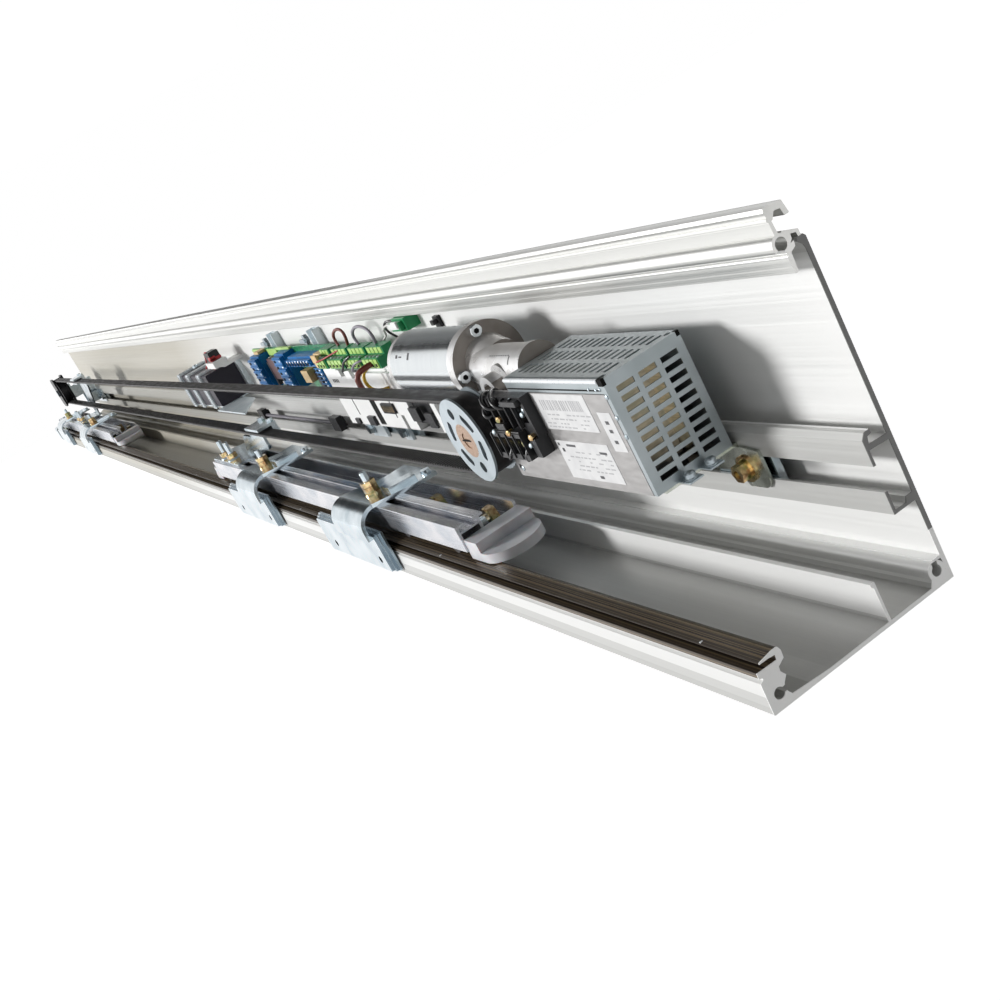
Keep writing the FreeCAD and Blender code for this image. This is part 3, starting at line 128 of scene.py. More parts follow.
class Finish:
    """One material and the nodes that make it."""

    def __init__(self, name, colour, rough=0.5, metal=0.0, **constants):
        self.material = bpy.data.materials.new(name)
        self.material.use_nodes = True
        self.tree = self.material.node_tree
        self.shader = self.tree.nodes["Principled BSDF"]
        self.set("Base Color", colour)
        self.set("Roughness", rough)
        self.set("Metallic", metal)
        for socket, value in constants.items():
            self.set(socket.replace("_", " "), value)
        self._place = None

    def node(self, kind, settings=None, inputs=None, output=0):
        """New node with its settings and inputs; gives the named or numbered output."""
        made = self.tree.nodes.new(kind)
        for key, value in (settings or {}).items():
            setattr(made, key, value)
        for key, value in (inputs or {}).items():
            self._feed(made.inputs[key], value)
        return Value(self, made.outputs[output])

    def _feed(self, socket, value):
        if isinstance(value, Value):
            self.tree.links.new(value.link, socket)
        elif isinstance(value, tuple) and len(value) == 3 and socket.type == "RGBA":
            socket.default_value = (*value, 1.0)
        else:
            socket.default_value = value

    def set(self, socket, value):
        self._feed(self.shader.inputs[socket], value)

    def place(self):
        """Position on the object, in metres, the same at every pose."""
        if self._place is None:
            self._place = self.node("ShaderNodeTexCoord", output="Object")
        return self._place

    def part(self, letter):
        """Position along one axis of the object, in metres."""
        return self.node("ShaderNodeSeparateXYZ", {}, {0: self.place()}, letter)

    def facing(self, letter):
        """Direction that the surface faces, on one axis of the object."""
        normal = Value(self, self.place().link.node.outputs["Normal"])
        return self.node("ShaderNodeSeparateXYZ", {}, {0: normal}, letter)

    def noise(self, scale, detail, stretch=(1.0, 1.0, 1.0)):
        """Noise on the object; a small stretch on an axis draws it out along that axis."""
        place = self.node("ShaderNodeVectorMath", {"operation": "MULTIPLY"},
                          {0: self.place(), 1: stretch})
        return self.node("ShaderNodeTexNoise", {},
                         {"Vector": place, "Scale": scale, "Detail": detail})

    def spread(self, value, low, high, to_low=0.0, to_high=1.0):
        """The value between two limits, laid over a new range."""
        return self.node("ShaderNodeMapRange", {},
                         {0: value, 1: low, 2: high, 3: to_low, 4: to_high})

    def blend(self, share, a, b):
        return self.node("ShaderNodeMix", {"data_type": "RGBA"},
                         {MIX_SHARE: share, MIX_A: a, MIX_B: b}, MIX_RESULT)

    def shades(self, value, a, b, low=0.35, high=0.65):
        """Two colours, shared out by where the value lies between two limits."""
        return self.blend(self.spread(value, low, high), a, b)

    def bump(self, height, depth, strength):
        """Fine relief that only the light sees, depth in metres."""
        self.set("Normal", self.node("ShaderNodeBump", {},
                                     {"Strength": strength, "Distance": depth,
                                      "Height": height}))
        return self


# Finishes

# Colours are linear. Several finishes darken some faces with painted shade: in the photo those
# faces mirror dark things in the room, which the plain stage doesn't have.

def header_finish():
    """Pale anodised profile with drawn lines, painted shade on its far end and on some faces, and
    a brown track.
    """
    f = Finish("pale_anodised", (0.76, 0.75, 0.72), 0.42, 0.18)
    lines = f.noise(900.0, 2.0, (0.0004, 1.0, 1.0))
    broad = f.noise(40.0, 2.0, (0.02, 1.0, 1.0))
    threads = f.noise(1500.0, 1.0, (0.0002, 1.0, 1.0))
    x, y, z = (f.part(letter) for letter in "XYZ")
    cut_end = x.abs() > NEAR_X - 0.5 * MM
    slot_face = (y < -0.0125) * (z > 0.045) * (z < 0.096)
    inside_floor = (z < 0.0046) * (z > 0.001)
    front_face = (y < -0.1000) * (z < 0.0225)
    low_front = front_face * (z < 0.0105)
    # Painted shade: the profile gets darker towards the far end.
    far = f.spread(x, 0.35, -0.15)
    colour = f.blend(far, (0.79, 0.79, 0.78), (0.41, 0.385, 0.32))
    colour = f.blend(f.spread(broad, 0.3, 0.7, 0.0, 0.25), colour, (0.60, 0.60, 0.58))
    # Painted shade, in place of dark reflections, on the slot's face, the floor inside, the front
    # lip and the top.
    top = z > 0.186
    shade = (slot_face * 0.62 + inside_floor * 0.40 + front_face * 0.20
             + low_front * 0.38 + top * 0.20).least(0.7)
    colour = f.blend(shade, colour, (0.30, 0.30, 0.285))
    # The cut ends are dark. A pale band below 30 mm on them is painted light.
    colour = f.blend(cut_end, colour, (0.20, 0.20, 0.195))
    colour = f.blend(cut_end * (z < 0.030), colour, (0.93, 0.93, 0.915))
    track = (y < -0.1068) * (z > 0.0215) * (1.0 - cut_end)
    brown = f.shades(threads, (0.034, 0.025, 0.018), (0.22, 0.165, 0.10), 0.52, 0.66)
    f.set("Base Color", f.blend(track, colour, brown))
    f.set("Roughness", f.spread(lines, 0.3, 0.7, 0.34, 0.50) + track * -0.08)
    f.set("Metallic", 0.18 + track * 0.25)
    return f.bump(lines, 0.00010, 0.4)


def trim_finish():
    """Satin profile of the cover's hinge, with lines drawn along it."""
    f = Finish("satin_trim", (0.72, 0.72, 0.70), 0.38, 0.85)
    lines = f.noise(1100.0, 2.0, (0.0004, 1.0, 1.0))
    drift = f.noise(30.0, 3.0, (0.02, 1.0, 1.0))
    f.set("Base Color", f.shades(drift, (0.57, 0.57, 0.55), (0.69, 0.69, 0.67)))
    f.set("Roughness", f.spread(lines, 0.3, 0.7, 0.28, 0.48))
    return f.bump(lines, 0.00010, 0.5)


def bar_finish():
    """Cloudy bright section with a faint lilac cast."""
    f = Finish("carriage_bar", (0.62, 0.64, 0.68), 0.24, 0.85)
    lines = f.noise(1000.0, 2.0, (0.0006, 1.0, 1.0))
    cloud = f.noise(60.0, 4.0, (0.5, 1.0, 1.0))
    f.set("Base Color", f.shades(cloud, (0.48, 0.51, 0.56), (0.68, 0.675, 0.70), 0.38, 0.62))
    f.set("Roughness", f.spread(lines, 0.3, 0.7, 0.20, 0.28))
    return f


def zinc_finish(name, tint, pale, rough=0.15, metal=1.0, plates=False):
    """Smooth zinc with blue clouds; plates paints shade on the leaf plates behind the straps."""
    f = Finish(name, tint, rough, metal)
    cloud = f.noise(38.0, 2.0)
    haze = f.noise(160.0, 3.0, (1.0, 0.4, 1.0))
    colour = f.shades(cloud, tint, pale, 0.36, 0.64)
    if plates:
        # Painted shade on the leaf plates behind the straps.
        painted_strap_shade = (f.part("Y") > -0.13145) * (f.part("Z") < 0.0425)
        colour = f.blend(painted_strap_shade * 0.62, colour, (0.14, 0.20, 0.25))
    f.set("Base Color", colour)
    f.set("Roughness", f.spread(haze, 0.30, 0.70, rough, rough + 0.08))
    return f


def brass_finish():
    """Yellow passivated nuts, olive and copper in their clouds."""
    f = Finish("yellow_passivate", (0.62, 0.44, 0.18), 0.16, 1.0)
    cloud = f.noise(230.0, 3.0)
    olive = f.noise(130.0, 2.0)
    warm = f.shades(cloud, (0.40, 0.22, 0.10), (0.84, 0.66, 0.36))
    f.set("Base Color", f.shades(olive, warm, (0.30, 0.30, 0.13), 0.52, 0.66))
    f.set("Roughness", f.spread(cloud, 0.3, 0.7, 0.22, 0.12))
    return f.bump(cloud, 0.00005, 0.3)


def turned_steel():
    """Smooth zinc-plated can with barely visible rolling marks and painted reflection darkening
    its top.
    """
    f = Finish("plated_can", (0.72, 0.76, 0.78), 0.17, 1.0)
    rings = f.noise(420.0, 2.0, (1.0, 0.03, 0.03))
    # Painted reflection: the top is darkened as if it mirrored a dark ceiling.
    painted_crown_reflection = f.spread(f.facing("Z"), 0.80, 0.97, 0.0, 0.75)
    f.set("Roughness", f.spread(rings, 0.3, 0.7, 0.15, 0.21) + painted_crown_reflection * 0.45)
    plate = f.shades(rings, (0.70, 0.74, 0.76), (0.78, 0.81, 0.82), 0.2, 0.8)
    f.set("Base Color", f.blend(painted_crown_reflection, plate, (0.20, 0.215, 0.225)))
    return f


def cast_finish():
    """Die-cast alloy: bright where it is round, brown-grey on its machined faces, painted
    reflection darkening its top.
    """
    f = Finish("die_cast", (0.70, 0.69, 0.67), 0.30, 0.55)
    cloud = f.noise(60.0, 2.0)
    flat = f.facing("X") > 0.75
    round_part = f.shades(cloud, (0.66, 0.65, 0.64), (0.80, 0.80, 0.80))
    # Painted reflection: the top is darkened as if it mirrored a dark ceiling.
    painted_crown_reflection = f.spread(f.facing("Z"), 0.75, 0.95, 0.0, 0.7)
    round_part = f.blend(painted_crown_reflection, round_part, (0.28, 0.265, 0.25))
    face = f.shades(cloud, (0.235, 0.21, 0.19), (0.30, 0.275, 0.25))
    f.set("Base Color", f.blend(flat, round_part, face))
    f.set("Roughness", f.spread(cloud, 0.3, 0.7, 0.25, 0.31) + flat * 0.14 + painted_crown_reflection * 0.4)
    return f


def sheet_finish():
    """Grey coated sheet of the supply box, with painted shade on its lid."""
    f = Finish("coated_sheet", (0.34, 0.39, 0.41), 0.30, 0.60)
    peel = f.noise(420.0, 3.0)
    cloud = f.noise(26.0, 3.0)
    body = f.shades(cloud, (0.32, 0.365, 0.38), (0.41, 0.455, 0.475))
    # Painted shade on the lid, the faces that look up.
    lid = f.spread(f.facing("Z"), 0.8, 0.95, 0.0, 0.45)
    f.set("Base Color", f.blend(lid, body, (0.13, 0.15, 0.16)))
    f.set("Roughness", f.spread(peel, 0.3, 0.7, 0.28, 0.36))
    return f


def front_sheet_finish():
    """Warmer bare sheet that carries the labels."""
    f = Finish("plain_sheet", (0.36, 0.35, 0.345), 0.36, 0.65)
    peel = f.noise(300.0, 3.0, (0.3, 1.0, 1.0))
    f.set("Base Color", f.shades(peel, (0.33, 0.32, 0.315), (0.41, 0.40, 0.395), 0.3, 0.7))
    f.set("Roughness", f.spread(peel, 0.3, 0.7, 0.30, 0.44))
    return f


def plastic(name, colour, rough=0.38, grain=700.0, depth=0.00008, shade=0.82, **more):
    """Moulded plastic with a fine spark-eroded grain."""
    f = Finish(name, colour, rough, 0.0, **more)
    fine = f.noise(grain, 3.0)
    wide = f.noise(45.0, 2.0)
    dull = tuple(c * shade for c in colour)
    f.set("Base Color", f.shades(wide, dull, colour, 0.3, 0.7))
    f.set("Roughness", f.spread(fine, 0.3, 0.7, rough - 0.06, rough + 0.10))
    return f.bump(fine, depth, 0.5)


def rubber_finish():
    """Black rubber, dusty in streaks along the belt."""
    f = Finish("belt_rubber", (0.020, 0.019, 0.019), 0.48, 0.0, Specular_IOR_Level=0.35)
    dust = f.noise(240.0, 4.0, (0.2, 1.0, 1.0))
    f.set("Base Color", f.blend(f.spread(dust, 0.45, 0.75, 0.0, 0.5), (0.014, 0.013, 0.014),
                                (0.075, 0.068, 0.066)))
    f.set("Roughness", f.spread(dust, 0.3, 0.7, 0.36, 0.62))
    return f.bump(dust, 0.0001, 0.4)


def bumper_finish():
    """Milky grey plastic that lets a little light in."""
    f = Finish("milky_plastic", (0.60, 0.60, 0.62), 0.30, 0.0, Subsurface_Weight=0.20,
               Subsurface_Scale=0.004)
    wide = f.noise(60.0, 2.0)
    f.set("Base Color", f.shades(wide, (0.50, 0.50, 0.53), (0.66, 0.66, 0.68), 0.3, 0.7))
    return f.bump(f.noise(500.0, 2.0), 0.00004, 0.3)


def board_finish():
    """Green circuit board with lighter copper runs under the lacquer."""
    f = Finish("circuit_board", (0.02, 0.20, 0.11), 0.30, 0.0, Specular_IOR_Level=0.4)
    cell = f.node("ShaderNodeTexVoronoi", {}, {"Vector": f.place(), "Scale": 190.0})
    runs = f.spread(cell, 0.12, 0.16, 1.0, 0.0)
    lanes = f.noise(160.0, 1.0, (1.0, 0.1, 4.0))
    colour = f.shades(lanes, (0.010, 0.13, 0.05), (0.03, 0.27, 0.10), 0.48, 0.52)
    f.set("Base Color", f.blend(runs, colour, (0.45, 0.42, 0.28)))
    return f


def label_finish():
    """White film, a little creased."""
    f = Finish("bare_label", (0.62, 0.62, 0.62), 0.40, 0.0)
    crease = f.noise(90.0, 2.0)
    f.set("Base Color", f.shades(crease, (0.58, 0.58, 0.585), (0.66, 0.66, 0.66)))
    return f.bump(crease, 0.00010, 0.2)


def core_finish():
    """Tape-wound coils, tan and greenish; behind and below them lies black painted shade.

    The coils glow a little as painted light, because the box shuts out nearly all of the light.
    """
    f = Finish("wound_core", (0.42, 0.36, 0.25), 0.40, 0.10)
    turns = f.noise(500.0, 1.0, (0.02, 0.2, 1.0))
    patch = f.noise(70.0, 2.0)
    colour = f.shades(turns, (0.34, 0.29, 0.20), (0.62, 0.55, 0.42))
    colour = f.blend(f.spread(patch, 0.50, 0.60, 0.0, 0.7), colour, (0.24, 0.28, 0.20))
    # Painted shade: black behind the coils and low down among them.
    low = f.spread(f.part("Z") + patch * 0.03, 0.122, 0.108)
    painted_inner_shade = (f.part("Y") > -0.0335).most(low)
    f.set("Base Color", f.blend(painted_inner_shade, colour, (0.012, 0.012, 0.012)))
    # Painted light: the coils glow.
    f.set("Emission Color", f.blend(painted_inner_shade, (0.11, 0.095, 0.065), (0, 0, 0)))
    f.set("Emission Strength", 1.0)
    return f.bump(turns, 0.0003, 0.6)


def small_parts_finish():
    """Tan holders; the block between the first two relays is dark maroon."""
    f = Finish("tan_holders", (0.66, 0.46, 0.20), 0.40, 0.0)
    x = f.part("X")
    maroon = (x > at(1026.0)) * (x < at(992.0))
    grain = f.noise(300.0, 3.0)
    tan = f.shades(grain, (0.60, 0.40, 0.16), (0.74, 0.55, 0.28), 0.3, 0.7)
    f.set("Base Color", f.blend(maroon, tan, (0.060, 0.012, 0.012)))
    return f.bump(grain, 0.00005, 0.3)


def bronze_finish():
    """Sintered bronze of the pulley's hub and shaft, speckled."""
    f = Finish("sintered_bronze", (0.36, 0.24, 0.16), 0.42, 0.75)
    grain = f.noise(620.0, 3.0)
    f.set("Base Color", f.shades(grain, (0.26, 0.17, 0.12), (0.44, 0.31, 0.23)))
    return f.bump(grain, 0.00010, 0.5)


def make_finishes():
    """Every finish under the short name by which pieces ask for it."""
    return {
        "header": header_finish(), "trim": trim_finish(), "bar": bar_finish(),
        "zinc": zinc_finish("blue_zinc", (0.47, 0.55, 0.60), (0.68, 0.75, 0.79)),
        "pale_zinc": zinc_finish("pale_zinc", (0.37, 0.43, 0.46), (0.46, 0.52, 0.56), 0.27, 0.70),
        "hanger": zinc_finish("hanger_zinc", (0.47, 0.55, 0.60), (0.68, 0.75, 0.79), plates=True),
        "silver": zinc_finish("silver_sheet", (0.66, 0.74, 0.78), (0.82, 0.88, 0.91), 0.30, 0.35),
        "olive_zinc": zinc_finish("olive_zinc", (0.40, 0.42, 0.37), (0.66, 0.68, 0.62), 0.20),
        "brass": brass_finish(), "steel": turned_steel(), "cast": cast_finish(),
        "sheet": sheet_finish(), "front_sheet": front_sheet_finish(),
        # Near white: a painted highlight on the cover's top edge and on the battery straps' edges.
        "rolled_edge": plastic("rolled_edge", (0.80, 0.83, 0.85), 0.3, shade=0.95, depth=0.0),
        "black": plastic("black_plastic", (0.016, 0.016, 0.018), 0.36, shade=0.6,
                         Specular_IOR_Level=0.35),
        # Painted shade: a near black for holes, gaps, slits and notches.
        "painted_hole_shade": plastic("painted_gap_shade", (0.006, 0.006, 0.006), 0.7, Specular_IOR_Level=0.1),
        "ink": plastic("grey_print", (0.10, 0.10, 0.105), 0.6, Specular_IOR_Level=0.2),
        "faint_ink": plastic("faint_print", (0.42, 0.42, 0.43), 0.6),
        "pack": plastic("pack_plastic", (0.026, 0.022, 0.034), 0.42, shade=0.7,
                        Specular_IOR_Level=0.3),
        "white": plastic("white_plastic", (0.84, 0.84, 0.83), 0.36, shade=0.95),
        "blue": plastic("blue_plastic", (0.002, 0.165, 0.46), 0.34, shade=0.62,
                        Specular_IOR_Level=0.25),
        "green": plastic("green_plastic", (0.015, 0.25, 0.09), 0.34, shade=0.7,
                         Specular_IOR_Level=0.3),
        "lime": plastic("lime_plastic", (0.47, 0.72, 0.20), 0.30, Specular_IOR_Level=0.4),
        "holders": small_parts_finish(),
        "wheel": plastic("wheel_plastic", (0.05, 0.05, 0.055), 0.30, shade=0.7),
        "rubber": rubber_finish(), "milky": bumper_finish(), "board": board_finish(),
        "label": label_finish(), "core": core_finish(), "bronze": bronze_finish(),
        "red_wire": plastic("red_wire", (0.42, 0.014, 0.018), 0.38),
        "brown_wire": plastic("brown_wire", (0.17, 0.030, 0.018), 0.32),
        "grey_wire": plastic("grey_wire", (0.25, 0.23, 0.27), 0.40),
        "black_wire": plastic("black_wire", (0.014, 0.014, 0.016), 0.34),
        "yellow_wire": plastic("yellow_wire", (0.70, 0.44, 0.03), 0.34),
        "orange": plastic("orange_plastic", (0.62, 0.13, 0.04), 0.36),
        "white_wire": plastic("white_wire", (0.72, 0.71, 0.68), 0.40),
    }


FINISH = make_finishes()

# Finish of each solid; wheels take "wheel" and every other solid takes "zinc".
NODE_FINISH = {
    "header_extrusion": "header", "cover_hinge": "trim", "near_bar": "bar",
    "far_bar": "bar", "motor_can": "steel", "motor_ends": "cast", "output_shaft": "bronze",
    # The idler takes black as painted shade, for the dark belt loop around it.
    "flange_screws": "steel", "pulley_flanges": "pale_zinc", "idler_pulley": "black",
    "pulley_hub": "bronze", "drive_pulley": "black", "tensioner_fork": "black",
    "battery_pack": "pack", "black_fittings": "black", "controller_plugs": "black",
    "terminal_block": "black", "toothed_belt": "rubber", "gearbox_housing": "cast",
    "box_cover": "sheet", "box_front": "front_sheet", "near_bumpers": "milky",
    "far_bumpers": "milky", "strip_knobs": "pale_zinc", "battery_tag": "white",
    "controller_case": "white", "relay_blocks": "blue", "relay_board": "board",
    "green_plugs": "green", "small_parts": "holders", "near_brass_nuts": "brass",
    "far_brass_nuts": "brass", "bracket_bolt": "brass", "supply_core": "core",
    "control_wires": "brown_wire", "slot_cable": "grey_wire", "wall_clips": "silver",
    "supply_bracket": "olive_zinc", "battery_frame": "silver", "near_hangers": "hanger",
    "far_hangers": "hanger",
}


def finish_nodes():
    """Every solid gets its finish; round faces are smoothed, edges stay crisp."""
    for name, piece in NODES.items():
        finish = NODE_FINISH.get(name, "wheel" if "wheel" in name else "zinc")
        piece.data.materials.clear()
        piece.data.materials.append(FINISH[finish].material)
        soften(piece.data)


def soften(mesh, angle=SHARP_ANGLE):
    mesh.polygons.foreach_set("use_smooth", [True] * len(mesh.polygons))
    mesh.set_sharp_from_angle(angle=math.radians(angle))


# Stage

# Corners of the stage's sheets, in metres.
FLOOR = ((-12.0, -12.0, -0.9), (12.0, -12.0, -0.9), (12.0, 12.0, -0.9), (-12.0, 12.0, -0.9))
UPPER_CARD = ((-3.0, -0.6, 1.35), (3.0, -0.6, 1.35), (3.0, 1.2, 1.35), (-3.0, 1.2, 1.35))
END_CARD = ((-3.1, -0.75, 0.75), (-3.1, 1.3, 0.75), (-3.1, 1.3, 2.6), (-3.1, -0.75, 2.6))


def make_stage():
    """Pale floor, and two dark cards above and beyond the part for its metal to mirror.

    The camera sees the cards white, so that they don't show against the background.
    """
    bpy.context.scene.view_settings.view_transform = "Standard"
    pale = Finish("pale_floor", (0.93, 0.93, 0.93), 0.9, Emission_Strength=1.0)
    seen = pale.node("ShaderNodeLightPath", output="Is Camera Ray")
    mirrored = pale.node("ShaderNodeLightPath", output="Is Glossy Ray")
    pale.set("Emission Color", pale.blend(seen.most(mirrored), (0, 0, 0), (0.60, 0.60, 0.60)))
    stage_sheet("floor", pale, FLOOR)
    dark = Finish("dark_card", (0.05, 0.05, 0.05), 0.9, Emission_Strength=1.0)
    direct = dark.node("ShaderNodeLightPath", output="Is Camera Ray")
    dark.set("Emission Color", dark.blend(direct, (0, 0, 0), (1.0, 1.0, 1.0)))
    stage_sheet("upper_card", dark, UPPER_CARD)
    stage_sheet("end_card", dark, END_CARD)


def stage_sheet(name, finish, corners):
    mesh = bpy.data.meshes.new(name)
    mesh.from_pydata(corners, [], [(0, 1, 2, 3)])
    mesh.materials.append(finish.material)
    card = bpy.data.objects.new(name, mesh)
    bpy.context.scene.collection.objects.link(card)


def make_sun(name, aim, strength, angle):
    """Light whose rays all run along aim; the angle in radians softens its shadows."""
    data = bpy.data.lights.new(name, "SUN")
    data.energy = strength
    data.angle = angle
    light = bpy.data.objects.new(name, data)
    light.rotation_mode = "QUATERNION"
    light.rotation_quaternion = Vector(aim).to_track_quat("-Z", "Y")
    bpy.context.scene.collection.objects.link(light)


def make_world():
    """White to the camera and to mirroring faces, a dim grey fill to all the rest."""
    world = bpy.data.worlds.new("studio")
    bpy.context.scene.world = world
    world.use_nodes = True
    tree = world.node_tree
    back = tree.nodes["Background"]
    path = tree.nodes.new("ShaderNodeLightPath")
    mix = tree.nodes.new("ShaderNodeMix")
    mix.data_type = "RGBA"
    mix.inputs[MIX_A].default_value = (0.22, 0.22, 0.22, 1.0)
    mix.inputs[MIX_B].default_value = (1.0, 1.0, 1.0, 1.0)
    seen = tree.nodes.new("ShaderNodeMath")
    seen.operation = "MAXIMUM"
    tree.links.new(path.outputs["Is Camera Ray"], seen.inputs[0])
    tree.links.new(path.outputs["Is Glossy Ray"], seen.inputs[1])
    tree.links.new(seen.outputs[0], mix.inputs[MIX_SHARE])
    tree.links.new(mix.outputs[MIX_RESULT], back.inputs["Color"])
    back.inputs["Strength"].default_value = 1.0


# Piece building

def spot(d, y, z):
    """Point in metres from a distance to the drive end, a depth and a height in mm."""
    return Vector((at(d), y * MM, z * MM))


def frame_of(axis):
    """The axis as a unit, and two directions square to it."""
    axis = Vector(axis).normalized()
    other = Vector(UP) if abs(axis.z) < 0.9 else Vector(ALONG)
    side = axis.cross(other).normalized()
    return axis, side, axis.cross(side).normalized()


class Stock:
    """Mesh that several plain forms are added to before it becomes a piece."""

    def __init__(self):
        self.verts = []
        self.faces = []

    def add(self, verts, faces):
        base = len(self.verts)
        self.verts.extend(Vector(v) for v in verts)
        self.faces.extend([base + i for i in face] for face in faces)
        return self

    def block(self, low, high):
        (a, b, c), (d, e, f) = low, high
        verts = [(x, y, z) for x in (a, d) for y in (b, e) for z in (c, f)]
        return self.add(verts, [(0, 1, 3, 2), (4, 6, 7, 5), (0, 4, 5, 1), (2, 3, 7, 6),
                                (0, 2, 6, 4), (1, 5, 7, 3)])

    def slab(self, far, near, front, back, low, high):
        """Block between two distances, two depths and two heights in mm."""
        return self.block(spot(far, front, low), spot(near, back, high))

    def slabs(self, *spans):
        for span in spans:
            self.slab(*span)
        return self

    def turned(self, start, axis, stops, sides=24):
        """Round form from pairs of distance along the axis and radius, in mm."""
        axis, side, lift = frame_of(axis)
        verts = []
        for along, radius in stops:
            centre = Vector(start) + axis * along * MM
            for k in range(sides):
                turn = 2.0 * math.pi * k / sides
                out = side * math.cos(turn) + lift * math.sin(turn)
                verts.append(centre + out * radius * MM)
        faces = []
        for row in range(len(stops) - 1):
            for k in range(sides):
                ahead = (k + 1) % sides
                faces.append((row * sides + k, row * sides + ahead,
                              (row + 1) * sides + ahead, (row + 1) * sides + k))
        last = (len(stops) - 1) * sides
        faces.append(tuple(reversed(range(sides))))
        faces.append(tuple(last + k for k in range(sides)))
        return self.add(verts, faces)

    def piece(self, name, finish, body="header", bevel=0.0, angle=SHARP_ANGLE):
        """The stock as one named piece that rides on a body, its edges bevelled, in mm."""
        mesh = bpy.data.meshes.new(name)
        mesh.from_pydata([tuple(v) for v in self.verts], [], self.faces)
        mesh.update()
        mesh.materials.append(FINISH[finish].material)
        soften(mesh, angle)
        made = bpy.data.objects.new(name, mesh)
        bpy.context.scene.collection.objects.link(made)
        if bevel:
            cut = made.modifiers.new("edges", "BEVEL")
            cut.width = bevel * MM
            cut.segments = 2
            cut.limit_method = "ANGLE"
        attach(made, body)


def wire_piece(name, route, radius, finish, body="header"):
    """Cable as one smooth curve through given points, in mm."""
    data = bpy.data.curves.new(name, "CURVE")
    data.dimensions = "3D"
    data.bevel_depth = radius * MM
    data.bevel_resolution = 3
    data.resolution_u = 12
    data.use_fill_caps = True
    line = data.splines.new("NURBS")
    line.points.add(len(route) - 1)
    for point, place in zip(line.points, route):
        point.co = (*spot(*place), 1.0)
    line.order_u = 3
    line.use_endpoint_u = True
    data.materials.append(FINISH[finish].material)
    made = bpy.data.objects.new(name, data)
    bpy.context.scene.collection.objects.link(made)
    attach(made, body)
    return made


def pan_head(stock, place, axis, radius, height):
    """Low domed screw head standing on a face."""
    stock.turned(place, axis, ((-0.3, radius), (height * 0.45, radius),
                               (height * 0.8, radius * 0.8), (height, radius * 0.45)), 20)


# Belt teeth

def belt_teeth():
    """Moulded teeth on the inner face of both belt strands."""
    low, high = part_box("toothed_belt")
    start = sum(v.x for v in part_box("idler_pulley")) / 2.0
    stop = sum(v.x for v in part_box("drive_pulley")) / 2.0
    pitch = 5.0 * MM
    thick = 1.8 * MM
    depth = 1.15 * MM
    sunk = 0.2 * MM
    edge = 0.25 * MM
    wide, slim = 1.5 * MM, 0.95 * MM
    count = int((stop - start) / pitch)
    y0, y1 = low.y + edge, high.y - edge
    stock = Stock()
    for inner, way in ((high.z - thick, -1.0), (low.z + thick, 1.0)):
        for k in range(count):
            x = stop - (k + 0.5) * pitch
            tip = inner + way * depth
            root = inner - way * sunk
            verts = [(x - wide, y0, root), (x + wide, y0, root), (x + slim, y0, tip),
                     (x - slim, y0, tip), (x - wide, y1, root), (x + wide, y1, root),
                     (x + slim, y1, tip), (x - slim, y1, tip)]
            stock.add(verts, [(0, 1, 2, 3), (7, 6, 5, 4), (0, 4, 5, 1), (1, 5, 6, 2),
                              (2, 6, 7, 3), (3, 7, 4, 0)])
    stock.piece("belt_teeth", "rubber")


# Supply box dressing

# Faces are depths in mm. A label gives its far and near ends, its lower and upper edges.
SUPPLY_FACE = -76.2
LABEL_FACE = SUPPLY_FACE - 0.2
PRINT_FRONT = LABEL_FACE - 0.04
PRINT_BACK = PRINT_FRONT + 0.05
UPPER_LABEL = (212.0, 144.0, 123.6, 148.0)
LOWER_LABEL = (210.5, 144.0, 89.0, 115.6)
SIDE_LABEL = (136.5, 121.5, 112.0, 137.3)


def supply_labels():
    """Three white labels with generic bars and rules, no words."""
    film = Stock()
    for far, near, low, high in (UPPER_LABEL, LOWER_LABEL, SIDE_LABEL):
        film.slab(far, near, LABEL_FACE, SUPPLY_FACE, low, high)
    film.piece("supply_labels", "label", bevel=0.06)
    dice = random.Random(11)
    faint = Stock()
    dark = Stock()
    far, near, low, high = UPPER_LABEL
    d = far - 8.0
    while d > near + 8.0:
        wide = dice.choice((0.7, 1.1, 1.7))
        faint.slab(d, d - wide, PRINT_FRONT, PRINT_BACK, high - 11.0, high - 4.0)
        d -= wide + dice.choice((0.8, 1.3, 1.9))
    rows = ((UPPER_LABEL, (13.5, 16.5, 19.5, 22.0)),
            (LOWER_LABEL, (7.0, 10.5, 13.5, 16.5, 19.5)))
    for (far, near, low, high), drops in rows:
        for drop in drops:
            d = far - 5.0
            while d > near + 7.0:
                wide = dice.uniform(2.0, 6.5)
                if dice.random() < 0.72:
                    faint.slab(d, max(d - wide, near + 2.0), PRINT_FRONT, PRINT_BACK,
                               high - drop - 0.9, high - drop)
                d -= wide + 1.6
    far, near, low, high = LOWER_LABEL
    marks = [(far - 2.0, far - 4.5, high - 3.6, high - 1.6),
             (far - 5.0, far - 8.0, high - 7.6, high - 5.2),
             (far - 13.0, far - 25.0, high - 3.8, high - 2.2),
             (far - 38.0, far - 43.0, low + 2.0, low + 4.0),
             (near + 14.0, near + 5.0, high - 7.0, high - 5.4)]
    far, near, low, high = SIDE_LABEL
    marks += [(far - 5.0, far - 9.0, high - drop - 2.2, high - drop) for drop in (5.5, 11.0, 18.0)]
    for left, right, bottom, top in marks:
        dark.slab(left, right, PRINT_FRONT, PRINT_BACK, bottom, top)
    faint.piece("supply_label_rules", "faint_ink")
    dark.piece("supply_label_marks", "ink")


